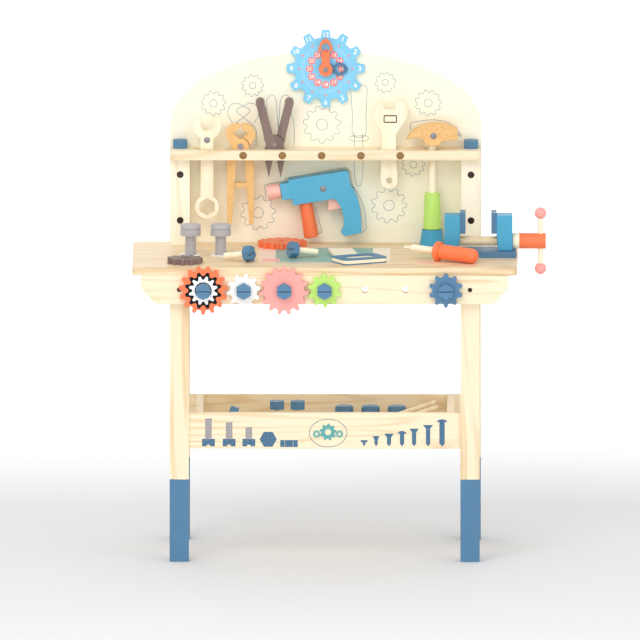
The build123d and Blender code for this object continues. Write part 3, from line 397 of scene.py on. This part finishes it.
def prism(builder, loops, low, high):
    """A closed solid between two copies of the loops; low and high place a loop's point in space."""
    points = [point for loop in loops for point in loop]
    flat = [[Vector((u, v, 0)) for u, v in loop] for loop in loops]
    bottom = [builder.verts.new(low(*point)) for point in points]
    top = [builder.verts.new(high(*point)) for point in points]
    for a, b, c in tessellate_polygon(flat):
        builder.faces.new((bottom[a], bottom[b], bottom[c]))
        builder.faces.new((top[c], top[b], top[a]))
    start = 0
    for loop in loops:
        for i in range(len(loop)):
            a, b = start + i, start + (i + 1) % len(loop)
            builder.faces.new((bottom[a], bottom[b], top[b], top[a]))
        start += len(loop)


def facing(face_y, rise=INK_RISE, root=INK_ROOT):
    """Places for a print on a surface that faces the viewer: its root is inside the surface."""
    return (lambda u, v: at(u, face_y + root, v)), (lambda u, v: at(u, face_y - rise, v))


def ribbon(builder, points, width, low, high, closed=True):
    """A flat band of even width along a line of points."""
    count = len(points)
    sides = []
    for i, (u, v) in enumerate(points):
        before = points[i - 1] if closed or i > 0 else points[i]
        after = points[(i + 1) % count] if closed or i < count - 1 else points[i]
        du, dv = after[0] - before[0], after[1] - before[1]
        size = math.hypot(du, dv) or 1.0
        ou, ov = -dv / size * width / 2, du / size * width / 2
        corners = ((low, 1), (low, -1), (high, -1), (high, 1))
        sides.append([builder.verts.new(put(u + s * ou, v + s * ov)) for put, s in corners])
    for i in range(count if closed else count - 1):
        a, b = sides[i], sides[(i + 1) % count]
        for k in range(4):
            builder.faces.new((a[k], a[(k + 1) % 4], b[(k + 1) % 4], b[k]))
    if not closed:
        builder.faces.new(sides[0])
        builder.faces.new(sides[-1])


def circle(x, z, radius, count=32, squash=1.0):
    turns = [2 * math.pi * i / count for i in range(count)]
    return [(x + radius * math.cos(t), z + squash * radius * math.sin(t)) for t in turns]


def between(t, a, b, c, d):
    """The value at t between b and c on a smooth curve through a, b, c and d."""
    square = (2 * a - 5 * b + 4 * c - d) * t * t
    return 0.5 * (2 * b + (c - a) * t + square + (3 * b - a - 3 * c + d) * t ** 3)


def curve(points, steps=8):
    """A smooth open line through the points."""
    line = []
    padded = [points[0]] + list(points) + [points[-1]]
    for p0, p1, p2, p3 in zip(padded, padded[1:], padded[2:], padded[3:]):
        for i in range(steps):
            t = i / steps
            line.append(tuple(between(t, *values) for values in zip(p0, p1, p2, p3)))
    line.append(points[-1])
    return line


def gear_line(x, z, radius, teeth, phase=0.0, valley=0.8):
    """A gear outline with soft teeth."""
    line = []
    count = teeth * 12
    for i in range(count):
        t = 2 * math.pi * i / count
        wave = math.tanh(2.2 * math.sin(teeth * t + phase)) / math.tanh(2.2)
        r = radius * (1 + valley) / 2 + radius * (1 - valley) / 2 * wave
        line.append((x + r * math.cos(t), z + r * math.sin(t)))
    return line


def lathe(builder, profile, origin, axis, segments=48, wave=None):
    """A turned solid. profile is (distance along the axis, radius) from one end to the other, in mm;
    wave(distance, angle) adds to the radius."""
    axis = Vector(axis).normalized()
    side = axis.orthogonal().normalized()
    other = axis.cross(side)
    rings = []
    for distance, radius in profile:
        ring = []
        for i in range(segments):
            t = 2 * math.pi * i / segments
            r = radius + (wave(distance, t) if wave else 0.0)
            outward = math.cos(t) * side + math.sin(t) * other
            ring.append(builder.verts.new(origin + MM * (axis * distance + r * outward)))
        rings.append(ring)
    for a, b in zip(rings, rings[1:]):
        for i in range(segments):
            j = (i + 1) % segments
            builder.faces.new((a[i], a[j], b[j], b[i]))
    builder.faces.new(rings[0])
    builder.faces.new(list(reversed(rings[-1])))


def dome(radius, height, steps=6):
    """The profile of a low dome that starts inside the surface."""
    rows = [(-0.4, radius), (0.0, radius)]
    for i in range(1, steps + 1):
        t = 0.5 * math.pi * i / steps
        rows.append((height * math.sin(t), max(radius * math.cos(t), 0.15)))
    return rows


FIGURE_SHARE = 0.72  # a numeral's height as a share of the font's size


def figure(builder, text, height, centre, depth, turn=0.0):
    """A printed number that faces the viewer, turned about its centre."""
    letters = bpy.data.curves.new("figure", "FONT")
    letters.body = text
    letters.align_x = "CENTER"
    letters.align_y = "CENTER"
    letters.size = height * MM / FIGURE_SHARE
    letters.extrude = depth * MM / 2
    letters.offset = 0.018 * letters.size
    letters.resolution_u = 3
    holder = bpy.data.objects.new("figure", letters)
    bpy.context.scene.collection.objects.link(holder)
    bpy.context.view_layer.update()
    mesh = bpy.data.meshes.new_from_object(holder.evaluated_get(bpy.context.evaluated_depsgraph_get()))
    stand = Matrix.Rotation(math.radians(90), 4, "X")
    mesh.transform(Matrix.Translation(centre) @ Matrix.Rotation(turn, 4, "Y") @ stand)
    builder.from_mesh(mesh)
    bpy.data.objects.remove(holder)
    bpy.data.meshes.remove(mesh)


# ---- CAD nodes that stay: small rounded edges and their finishes ----
FLAT_BOARDS = ("front_apron", "tool_shelf", "tabletop")


def soften(node, width):
    """Rounds the sharp edges of a CAD node with modifiers; its own mesh stays as it is."""
    shape = NODES[node]
    weld = shape.modifiers.new("weld", "WELD")
    weld.merge_threshold = 1e-6
    if node in FLAT_BOARDS:
        merged = shape.modifiers.new("flat_faces", "DECIMATE")
        merged.decimate_type = "DISSOLVE"
        merged.angle_limit = math.radians(0.5)
    bevel = shape.modifiers.new("soft_edges", "BEVEL")
    bevel.width = width * MM
    bevel.segments = 2
    bevel.limit_method = "ANGLE"
    bevel.angle_limit = math.radians(38)
    bevel.use_clamp_overlap = True
    bevel.harden_normals = False
    weighted = shape.modifiers.new("even_shading", "WEIGHTED_NORMAL")
    weighted.keep_sharp = True


def finish_with(node, material):
    """Gives every face of a CAD node one of the materials."""
    mesh = NODES[node].data
    for index in range(len(mesh.materials)):
        mesh.materials[index] = M[material]
    if not mesh.materials:
        mesh.materials.append(M[material])


FINISHES = {
    "tabletop": "table", "front_apron": "pale_x", "rear_aprons": "pale_x", "legs": "leg",
    "back_panel": "panel", "shelf_posts": "post_z", "tool_shelf": "pale_x",
    "frame_screws": "black_steel", "tray_front": "pale_x", "tray_back": "pale_x", "tray_ends": "pale_y",
    "tray_floor": "pale_x", "tray_bolts": "blue", "tray_pegs": "blue", "tray_strips": "pale_y",
    "toy_bolts": "blue", "gear_nuts": "blue", "clock_dial": "dial_blue", "clock_pivot": "rivet",
    "hammer_rest": "vise_blue", "drill_peg": "pale_y", "vise_base": "dark_blue",
    "vise_fixed_jaw": "vise_blue", "vise_fixed_plate": "dark_blue", "clock_minute_hand": "orange",
    "clock_hour_hand": "dark_blue", "orange_gear": "orange", "white_gear": "white", "pink_gear": "pink",
    "green_gear": "green", "blue_gear": "blue", "vise_moving_jaw": "vise_blue",
    "vise_moving_plate": "dark_blue", "vise_screw": "pale_x", "vise_sleeve": "orange",
    "vise_bar": "cream_z", "vise_bar_balls": "pink", "spanner": "cream_z", "pliers_left_half": "tan_z",
    "pliers_right_half": "tan_z", "pliers_pin": "rivet", "cutters_left_half": "brown_z",
    "cutters_right_half": "brown_z", "cutters_pin": "rivet", "adjustable_wrench": "cream_z",
    "hammer_head": "tan_x", "hammer_handle": "cream_z", "hammer_grip": "green",
    "drill_body": "drill_blue", "drill_chuck": "pale_pink", "drill_trigger": "pale_pink",
    "drill_side_handle": "orange", "saw_blade": "cream_x", "saw_grip_plates": "blue",
    "screwdriver_handle": "orange", "screwdriver_shaft": "driver_shaft", "table_screws": "grey",
    "loose_orange_gear": "orange", "loose_brown_gear": "brown_x", "loose_bolts": "blue",
}
# Widths of the rounded edges.
SOFT_EDGES = {
    "tabletop": 1.6, "front_apron": 1.0, "rear_aprons": 1.0, "legs": 1.2, "back_panel": 0.9,
    "shelf_posts": 1.0, "tool_shelf": 0.9, "tray_front": 0.9, "tray_back": 0.9, "tray_ends": 0.9,
    "tray_strips": 0.5, "vise_base": 0.9, "vise_fixed_jaw": 0.9, "vise_fixed_plate": 0.6,
    "vise_moving_jaw": 0.9, "vise_moving_plate": 0.6, "spanner": 0.8, "adjustable_wrench": 0.8,
    "pliers_left_half": 0.9, "pliers_right_half": 0.9, "cutters_left_half": 0.9,
    "cutters_right_half": 0.9, "hammer_head": 1.1, "clock_dial": 0.5, "drill_body": 1.1,
    "saw_blade": 0.4, "saw_grip_plates": 0.4, "orange_gear": 0.5, "white_gear": 0.5, "pink_gear": 0.5,
    "green_gear": 0.5, "blue_gear": 0.5, "loose_orange_gear": 0.6, "loose_brown_gear": 0.6,
    "toy_bolts": 0.5, "loose_bolts": 0.5, "tray_bolts": 0.5, "tray_pegs": 0.8, "gear_nuts": 0.4,
    "hammer_rest": 0.7, "table_screws": 0.7, "vise_sleeve": 0.7,
}


def finish_cad_nodes():
    for node, material in FINISHES.items():
        finish_with(node, material)
    for node, width in SOFT_EDGES.items():
        soften(node, width)


finish_cad_nodes()


# ---- Natural shafts on the painted toy bolts ----
def natural_shafts(node, is_head):
    """Gives the faces of a node that aren't on a bolt's head a second, natural wood finish."""
    mesh = NODES[node].data
    mesh.materials.append(M["cream_z"])
    origin = at(0, 0, 0)
    for face in mesh.polygons:
        if not is_head((face.center - origin) / MM):
            face.material_index = len(mesh.materials) - 1


BOLT_HEAD = 13
PEG_HEAD = 15.4
LOOSE_BOLT_LEAN = 8.5  # degrees by which a lying bolt's head end is raised
LOOSE_BOLT_TURNS = (-24, -156.5)
TRAY_BOLT_TILT = 72
HEAD_MARGIN = 0.3


def axis_bolt_head(node, groups):
    """A test for points on bolt heads. Each group has a test for the bolt and its head's direction."""
    points = [(v.co - at(0, 0, 0)) / MM for v in NODES[node].data.vertices]
    limits = []
    for belongs, direction in groups:
        reach = max(point.dot(direction) for point in points if belongs(point))
        limits.append((belongs, direction, reach - BOLT_HEAD - HEAD_MARGIN))

    def is_head(point):
        return any(belongs(point) and point.dot(way) > limit for belongs, way, limit in limits)

    return is_head


def finish_bolts():
    up, front = Vector((0, 0, 1)), Vector((0, -1, 0))
    groups = [(lambda p: p.y < 60, front), (lambda p: p.y > 60, up)]
    natural_shafts("toy_bolts", axis_bolt_head("toy_bolts", groups))
    lean = math.radians(LOOSE_BOLT_LEAN)
    heading = Vector((math.cos(lean), 0, math.sin(lean)))
    left, right = (Matrix.Rotation(math.radians(turn), 3, "Z") @ heading for turn in LOOSE_BOLT_TURNS)
    groups = [(lambda p: p.x < -85, left), (lambda p: p.x >= -85, right)]
    natural_shafts("loose_bolts", axis_bolt_head("loose_bolts", groups))
    tilt = math.radians(TRAY_BOLT_TILT)
    across = Vector((-math.sin(tilt), 0, math.cos(tilt)))
    groups = [(lambda p: p.x > -95, up), (lambda p: p.z > 205 and p.x < -95, across)]
    groups.append((lambda p: p.z <= 205 and p.x < -130, front))
    groups.append((lambda p: p.z <= 205 and -130 <= p.x < -95, front))
    natural_shafts("tray_bolts", axis_bolt_head("tray_bolts", groups))
    pegs_top = bench_box("tray_pegs")[1].z
    natural_shafts("tray_pegs", lambda p: p.z > pegs_top - PEG_HEAD)


finish_bolts()


# ---- Painted shade: darker wood inside the shelf's holes and the wrench's window ----
HOLES_CENTRE_X = -6
HOLE_PITCH = 61.2
HOLE_RADIUS = 6.2
HOLE_DEPTH = 16
WINDOW_DROP = 30.8  # from the wrench's top to the middle of its window


def darken_bores():
    """Painted shade: the walls and ends of the shelf's five blind holes get a darker brown wood."""
    mesh = NODES["tool_shelf"].data
    mesh.materials.append(M["bore_painted_shade"])
    origin = at(0, 0, 0)
    low, high = bench_box("tool_shelf")
    middle = (low.z + high.z) / 2
    holes = [HOLES_CENTRE_X + HOLE_PITCH * i for i in range(-2, 3)]
    for face in mesh.polygons:
        place = (face.center - origin) / MM
        near = min(math.hypot(place.x - hole, place.z - middle) for hole in holes)
        if near < HOLE_RADIUS and low.y + 0.1 < place.y < low.y + HOLE_DEPTH:
            face.material_index = len(mesh.materials) - 1


darken_bores()


def darken_window():
    """Painted shade: the shallow window round the adjustable wrench's block gets darker brown walls and a
    darker brown bed.
    """
    mesh = NODES["adjustable_wrench"].data
    mesh.materials.append(M["slot"])
    low, high = bench_box("adjustable_wrench")
    middle = (low.x + high.x) / 2
    origin = at(0, 0, 0)
    for face in mesh.polygons:
        place = (face.center - origin) / MM
        inside = abs(place.x - middle) < 13 and abs(place.z - high.z + WINDOW_DROP) < 7
        if inside and low.y + 0.1 < place.y < high.y - 0.1:
            face.material_index = len(mesh.materials) - 1


darken_window()


# ---- Clock face ----
HOUR_RING = 53.2
DOT_RING = 41.6
DISC_RING = 25.0
MINUTE_RING = 33.6
CLOCK_Z = (bench_box("clock_dial")[0].z + bench_box("clock_dial")[1].z) / 2
DIAL_FRONT = bench_box("clock_dial")[0].y


def on_dial(radius, hours):
    """A place on the dial, as x and z, at a radius and an hour."""
    turn = math.radians(90 - 30 * hours)
    return radius * math.cos(turn), CLOCK_Z + radius * math.sin(turn)


def clock_face():
    low, high = facing(DIAL_FRONT)
    numbers, discs = bmesh.new(), bmesh.new()
    raised_low, raised_high = facing(DIAL_FRONT, 2 * INK_RISE, -INK_RISE / 2)
    for hour in range(1, 13):
        x, z = on_dial(HOUR_RING, hour)
        tilt = math.radians(20) * math.sin(math.radians(60 * hour))
        middle = at(x, DIAL_FRONT - INK_RISE / 2, z)
        figure(numbers, str(hour), 7.4, middle, INK_RISE + 0.1, tilt)
        x, z = on_dial(DOT_RING, hour)
        prism(discs, [circle(x, z, 1.7, 16)], low, high)
        x, z = on_dial(DISC_RING, hour)
        prism(discs, [circle(x, z, 5.9, 28)], low, high)
        middle = at(x, DIAL_FRONT - 1.5 * INK_RISE, z)
        figure(numbers, str(12 + hour), 5.6, middle, INK_RISE + 0.06)
    for minute in range(60):
        outer = 39.0 if minute % 5 else 38.0
        a, b = on_dial(MINUTE_RING, minute / 5), on_dial(outer, minute / 5)
        ribbon(numbers, [a, b], 0.3, low, high, closed=False)
    new_piece("clock_numbers", numbers, "bench", M["ink_white"])
    new_piece("clock_discs", discs, "bench", M["ink_pink"])


clock_face()


# ---- Print on the orange apron gear ----
ORANGE_GEAR_X = -189
CORNER_SPREAD = 0.27  # how wide a tip or valley is rounded, against the spacing of the points


def star(x, z, tip, valley, count, phase, rounding=3):
    """A ring of points; rounding is the number of points drawn at each tip and valley."""
    line = []
    for i in range(2 * count):
        r = valley if i % 2 else tip
        t = phase + math.pi * i / count
        for k in range(rounding):
            shift = (k - (rounding - 1) / 2) * CORNER_SPREAD * math.pi / count
            line.append((x + r * math.cos(t + shift), z + r * math.sin(t + shift)))
    return line


def gear_print():
    low_box, high_box = bench_box("orange_gear")
    face = low_box.y
    x = ORANGE_GEAR_X
    z = (low_box.z + high_box.z) / 2 + 0.4
    low, high = facing(face)
    raised = facing(face, 2 * INK_RISE, -INK_RISE / 2)[1]
    white, black = bmesh.new(), bmesh.new()
    phase = math.radians(15)
    prism(black, [star(x, z, 29.0, 23.2, 12, phase), circle(x, z, 8.0, 40)], low, high)
    prism(white, [star(x, z, 22.6, 17.2, 12, phase), circle(x, z, 7.8, 40)], low, raised)
    ring_low = facing(face, 1.6 * INK_RISE, 0)[1]
    ring_high = facing(face, 2.8 * INK_RISE, 0)[1]
    prism(black, [circle(x, z, 13.2, 48), circle(x, z, 11.5, 48)], ring_low, ring_high)
    new_piece("gear_print_black", black, "gear_orange", M["ink_black"])
    new_piece("gear_print_white", white, "gear_orange", M["ink_white"])


gear_print()


# ---- Outlines printed on the back panel ----
PANEL_FACE = bench_box("back_panel")[0].y
LINE = 0.9
# x, z, radius, teeth, phase
PANEL_GEARS = (
    (-174.9, 682.8, 19.5, 11, 0.4), (-113.9, 711.0, 17.4, 11, 1.2), (93.0, 716.0, 16.5, 10, 0.0),
    (159.7, 683.9, 20.7, 11, 0.8), (-5.7, 649.6, 29.4, 11, 0.2), (136.5, 586.8, 18.2, 11, 0.9),
    (98.6, 522.5, 27.7, 11, 1.5), (-105.1, 510.7, 27.3, 10, 0.3),
)
PLIERS_LOOP = (
    (-108.5, 616), (-108.2, 640), (-113, 648), (-121, 655), (-128.4, 661), (-138.6, 669.8), (-136, 675),
    (-128.4, 678.5), (-119, 683.2), (-110, 681), (-104.5, 672), (-105.5, 662), (-112, 652),
)
# The silhouettes behind the tools, as open lines of x and z: pliers, cutters, screwdriver, hammer, drill.
PANEL_LINES = (
    PLIERS_LOOP,
    tuple((-256.8 - x, z) for x, z in PLIERS_LOOP[2:]),
    ((-83, 616), (-88, 640), (-91.6, 668), (-91.5, 688), (-84.4, 696.4), (-77.5, 689), (-75.5, 665),
     (-73.5, 640), (-73, 616)),
    ((-74, 640), (-72, 668), (-70, 689), (-63.4, 696.4), (-56, 690), (-54, 670), (-50, 652),
     (-48.8, 634), (-49.5, 616)),
    ((39, 704), (41.5, 665), (42.6, 633), (61.4, 633), (62.8, 665), (64.5, 704), (60.5, 710.5), (52, 713)),
    ((39.4, 631.5), (39.2, 624.5), (63.6, 624.5), (63.8, 631.5), (39.4, 631.5)),
    ((44.9, 636), (44.9, 570), (51.6, 553), (57.6, 570), (57.4, 636)),
    ((132.6, 641), (132.8, 651.5), (145, 655), (163, 657.2), (182, 655.5), (194, 651), (204, 642),
     (211, 631), (204, 636)),
    ((-93.0, 530), (-94.5, 548), (-93.3, 555), (-62, 560.5), (-60.5, 565.5), (-18, 573), (26, 581.3),
     (34.6, 579.5), (38.4, 574), (40.8, 556), (51, 540), (59.7, 519), (62.6, 498), (62.4, 484.8), (54, 479)),
    ((-17, 521), (-11, 500), (-6.4, 481.5), (-11, 478.4), (-18, 477.5)),
)


def panel_print():
    low, high = facing(PANEL_FACE, 0.08)
    lines = bmesh.new()
    for x, z, radius, teeth, phase in PANEL_GEARS:
        ribbon(lines, gear_line(x, z, radius, teeth, phase), LINE, low, high)
        ribbon(lines, circle(x, z, 0.3 * radius), LINE, low, high)
    for points in PANEL_LINES:
        ribbon(lines, curve(points, 5), LINE, low, high, closed=False)
    new_piece("panel_outlines", lines, "bench", M["ink_outline"])


panel_print()


# ---- Pictures printed on the tray's front board ----
TRAY_FACE = bench_box("tray_front")[0].y
PICTURE_FOOT = 181.0
EMBLEM_X = 5.3
# x and top
BOLT_PICTURES = ((-181.0, 225.1), (-148.8, 219.3), (-118.1, 211.5))
# x, top, head width, shaft width, kind of head
NAIL_PICTURES = (
    (61.4, 191.0, 9.5, 4.0, "flat"), (80.1, 197.3, 9.5, 4.5, "sunk"), (100.3, 201.1, 13.0, 5.5, "sunk"),
    (120.6, 205.6, 12.0, 5.5, "dome"), (139.3, 209.1, 13.2, 5.5, "sunk"), (161.1, 214.8, 14.0, 5.6, "sunk"),
    (182.9, 223.9, 14.5, 7.0, "dome"),
)


def nail_outline(x, top, head, shaft, kind):
    """A nail or screw that points down, as one closed outline."""
    half, neck = 0.56 * head, 0.6 * shaft
    tip = [(x + neck, PICTURE_FOOT + 4.5), (x, PICTURE_FOOT), (x - neck, PICTURE_FOOT + 4.5)]
    if kind == "dome":
        turns = [math.pi * i / 10 for i in range(11)]
        arch = [(x + half * math.cos(t), top - 4.6 + 4.6 * math.sin(t)) for t in turns]
        cap = [(x - neck, top - 4.6)] + list(reversed(arch)) + [(x + neck, top - 4.6)]
    elif kind == "sunk":
        cap = [(x - neck, top - 6), (x - half, top), (x + half, top), (x + neck, top - 6)]
    else:
        rim = top - 3.2
        cap = [(x - neck, rim), (x - half, rim), (x - half, top)]
        cap += [(x + half, top), (x + half, rim), (x + neck, rim)]
    return cap + tip


def tray_print():
    low, high = facing(TRAY_FACE)
    middle = facing(TRAY_FACE, 0.5 * INK_RISE)[1]
    blue, grey, silver, teal = bmesh.new(), bmesh.new(), bmesh.new(), bmesh.new()
    for x, top in BOLT_PICTURES:
        shaft_low = 193.2
        left, right = x - 5.2, x + 5.2
        shaft = [(left, shaft_low), (right, shaft_low), (right, top), (left, top - 0.4)]
        prism(silver, [shaft], low, middle)
        threads = max(3, round((top - shaft_low) / 2.4))
        for i in range(threads):
            z0 = shaft_low + (top - shaft_low) * i / threads
            z1 = shaft_low + (top - shaft_low) * (i + 0.45) / threads
            prism(grey, [[(left, z0), (right, z0 + 0.6), (right, z1 + 0.2), (left, z1 - 0.4)]], low, high)
        foot, seat, notch = PICTURE_FOOT, shaft_low - 0.4, PICTURE_FOOT + 2.6
        head = [(x - 10, seat), (x + 10, seat), (x + 10, foot), (x + 3, foot)]
        head += [(x + 2, notch), (x - 2, notch), (x - 3, foot), (x - 10, foot)]
        prism(blue, [head], low, high)
    prism(blue, [circle(-87.9, 192.1, 13.5, 6)], low, high)
    for x0, x1 in ((-69.2, -62.4), (-61.9, -49.4), (-48.9, -41.9)):
        prism(blue, [[(x0, 180.0), (x1, 180.0), (x1, 191.0), (x0, 191.0)]], low, high)
    for nail in NAIL_PICTURES:
        prism(blue, [nail_outline(*nail)], low, high)
    ribbon(blue, circle(EMBLEM_X, 202, 29.2, 64, 0.745), LINE, low, high)
    large = [gear_line(EMBLEM_X, 203.5, 13.5, 9, 0.6, 0.78), circle(EMBLEM_X, 203.5, 5.2, 6)]
    prism(teal, large, low, high)
    for x in (-12.5, 23.1):
        prism(teal, [gear_line(x, 200.5, 6.4, 8, 0.6, 0.76), circle(x, 200.5, 2.4, 12)], low, high)
    new_piece("tray_print_blue", blue, "bench", M["ink_blue"])
    new_piece("tray_print_grey", grey, "bench", M["ink_grey"])
    new_piece("tray_print_silver", silver, "bench", M["ink_silver"])
    new_piece("tray_print_emblem", teal, "bench", M["ink_teal"])


tray_print()


# ---- Rivets, washers and turned details ----
TABLE_SCREWS = (("left", -209.7), ("right", -162.7))
TABLE_SCREWS_Y = 125
THREAD_PITCH = 2.6


def rivets():
    spanner_face = bench_box("spanner")[0].y
    hammer_face = bench_box("hammer_head")[0].y
    drill_face = bench_box("drill_body")[0].y
    for name, body, place, radius in (
        ("spanner_rivet", "spanner_tool", at(-184.7, spanner_face, 629.2), 5.0),
        ("hammer_rivet", "hammer_tool", at(168.2, hammer_face, 637), 5.1),
        ("drill_screw", "drill_tool", at(-3.8, drill_face, 553.0), 4.9),
    ):
        builder = bmesh.new()
        lathe(builder, dome(radius, 0.9), place, (0, -1, 0))
        new_piece(name, builder, body, M["rivet"], 40)


rivets()


def screw_washers():
    top = bench_box("tabletop")[1].z
    for side, x in TABLE_SCREWS:
        builder = bmesh.new()
        outer, inner = (circle(x, TABLE_SCREWS_Y, radius, 56) for radius in (16.5, 9.3))
        prism(builder, [outer, inner], lambda u, v: at(u, v, top - 0.1), lambda u, v: at(u, v, top + 1.4))
        piece = new_piece("washer_" + side, builder, "bench", M["white"], 40)
        bevel = piece.modifiers.new("soft_edges", "BEVEL")
        bevel.width = 0.4 * MM
        bevel.segments = 2


screw_washers()


def standing_screws():
    """The two grey wooden screws: a head with a turned groove, and a faint thread down the shaft."""
    low, high = bench_box("table_screws")
    length = high.z - low.z
    head_foot = length - 18.0
    head, shaft = 16.0, 8.5
    groove = shaft - 0.55
    rows = [(0.0, shaft - 0.8), (0.8, shaft)]
    for i in range(int((head_foot - 2) / THREAD_PITCH)):
        start = 1.2 + i * THREAD_PITCH
        rows += [(start, shaft), (start + 1.7, shaft), (start + 2.1, groove), (start + 2.3, groove)]
    rows += [(head_foot - 0.2, shaft), (head_foot, shaft + 0.3), (head_foot, head - 1.0)]
    rows += [(head_foot + 0.3, head - 0.3), (head_foot + 1.0, head), (length - 8.8, head)]
    rows += [(length - 8.3, head - 1.3), (length - 6.5, head - 1.3), (length - 6.0, head)]
    rows += [(length - 1.2, head), (length - 0.4, head - 0.4), (length, head - 1.4)]
    builder = bmesh.new()
    for _, x in TABLE_SCREWS:
        lathe(builder, rows, at(x, TABLE_SCREWS_Y, low.z), (0, 0, 1), 56)
    screws = new_piece("turned_table_screws", builder, "standing_screws", M["grey"], 40)
    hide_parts("table_screws")


standing_screws()


def vise_thread():
    """The wooden screw with its thread, and the plain collar beside the jaw."""
    low, high = bench_box("vise_screw")
    axis_z = (low.z + high.z) / 2
    axis_y = (low.y + high.y) / 2
    lead, crest, root = 3.3, 8.0, 6.2
    end = 292.0  # where the thread meets the collar
    step = lead / 12

    def wave(distance, turn):
        phase = (distance / lead - turn / (2 * math.pi)) % 1.0
        return (root - crest) * min(1.0, max(0.0, 2.6 * abs(phase - 0.5) * 2 - 1.1))

    count = round((end - low.x) / step)
    profile = [(0.0, crest - 1.2)] + [(i * step, crest) for i in range(4, count + 1)]
    builder = bmesh.new()
    lathe(builder, profile, at(low.x, axis_y, axis_z), (1, 0, 0), 40, wave)
    screw = new_piece("vise_thread", builder, "vise_spindle", M["pale_x"], 50)
    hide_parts("vise_screw")
    collar = bmesh.new()
    radius = 12.3
    length = high.x - end
    rows = [(0, radius - 0.8), (0.3, radius - 0.3), (0.9, radius)]
    rows += [(length - 0.9, radius), (length, radius - 0.5)]
    lathe(collar, rows, at(end, axis_y, axis_z), (1, 0, 0), 56)
    new_piece("vise_collar", collar, "vise_spindle", M["cream_x"], 40)


vise_thread()


# ---- Stage, in metres ----
FLOOR_GAP = 0.0002


def floor():
    """A pale floor that bends up into a backdrop and glows more with depth, painted light that brightens the
    backdrop.
    """
    builder = bmesh.new()
    reach, back, lift, bend = 6.0, 3.2, 3.5, 1.0
    rows = [(-reach, 0.0), (back - bend, 0.0)]
    for i in range(1, 13):
        t = 0.5 * math.pi * i / 12
        rows.append((back - bend + bend * math.sin(t), bend - bend * math.cos(t)))
    rows.append((back, lift))
    for y, z in rows:
        builder.verts.new((-reach, y, z - FLOOR_GAP))
        builder.verts.new((reach, y, z - FLOOR_GAP))
    builder.verts.ensure_lookup_table()
    for i in range(len(rows) - 1):
        a = 2 * i
        builder.faces.new([builder.verts[k] for k in (a, a + 1, a + 3, a + 2)])
    mesh = bpy.data.meshes.new("studio_floor")
    builder.to_mesh(mesh)
    builder.free()
    mesh.shade_smooth()
    material, tree, shader = start_material("studio_floor")
    tone = noise(tree, place_of(tree), 1.5, 2.0)
    colour = mix(tree, tone, (0.77, 0.775, 0.785, 1), (0.75, 0.755, 0.77, 1))
    # Painted light: the floor and backdrop emit more light the farther back they lie.
    depth = add(tree, "SeparateXYZ", {0: place_of(tree)}).outputs[1]
    painted_glow = remap(tree, depth, 0.5, 2.3, 0.0, 0.6)
    connect(tree, shader, {"Base Color": colour, "Roughness": 0.75, "Emission Strength": painted_glow})
    mesh.materials.append(material)
    made = bpy.data.objects.new("studio_floor", mesh)
    bpy.context.scene.collection.objects.link(made)


def area_light(name, place, target, size, power):
    data = bpy.data.lights.new(name, "AREA")
    data.energy = power
    data.size = size
    data.color = (1.0, 0.99, 0.975)
    lamp = bpy.data.objects.new(name, data)
    lamp.location = place
    lamp.rotation_euler = (Vector(target) - Vector(place)).to_track_quat("-Z", "Y").to_euler()
    bpy.context.scene.collection.objects.link(lamp)


def lights():
    middle = (0.0, 0.0, 0.45)
    area_light("key", (-0.9, -2.2, 2.4), middle, 1.4, 23)
    area_light("fill", (1.8, -2.0, 1.3), middle, 1.6, 8)
    area_light("low", (0.0, -2.6, 0.6), (0.0, 0.0, 0.35), 1.0, 8)
    world = bpy.data.worlds.new("studio")
    world.use_nodes = True
    background = world.node_tree.nodes["Background"]
    background.inputs["Color"].default_value = (1.0, 1.0, 1.0, 1.0)
    background.inputs["Strength"].default_value = 0.83
    bpy.context.scene.world = world


def camera():
    """An orthographic view from the front, eight degrees above the horizon."""
    data = bpy.data.cameras.new("camera")
    data.type = "ORTHO"
    data.ortho_scale = 0.997
    data.clip_end = 30
    made = bpy.data.objects.new("camera", data)
    elevation, yaw = math.radians(8.2), math.radians(0.36)
    made.rotation_euler = (math.radians(90) - elevation, 0, yaw)
    level = math.cos(elevation)
    back = Vector((math.sin(yaw) * level, -math.cos(yaw) * level, math.sin(elevation)))
    made.location = at(-7.2, 0, 380.5) + 3.0 * back
    bpy.context.scene.collection.objects.link(made)
    bpy.context.scene.camera = made


floor()
lights()
camera()
bpy.context.scene.view_settings.view_transform = "Standard"
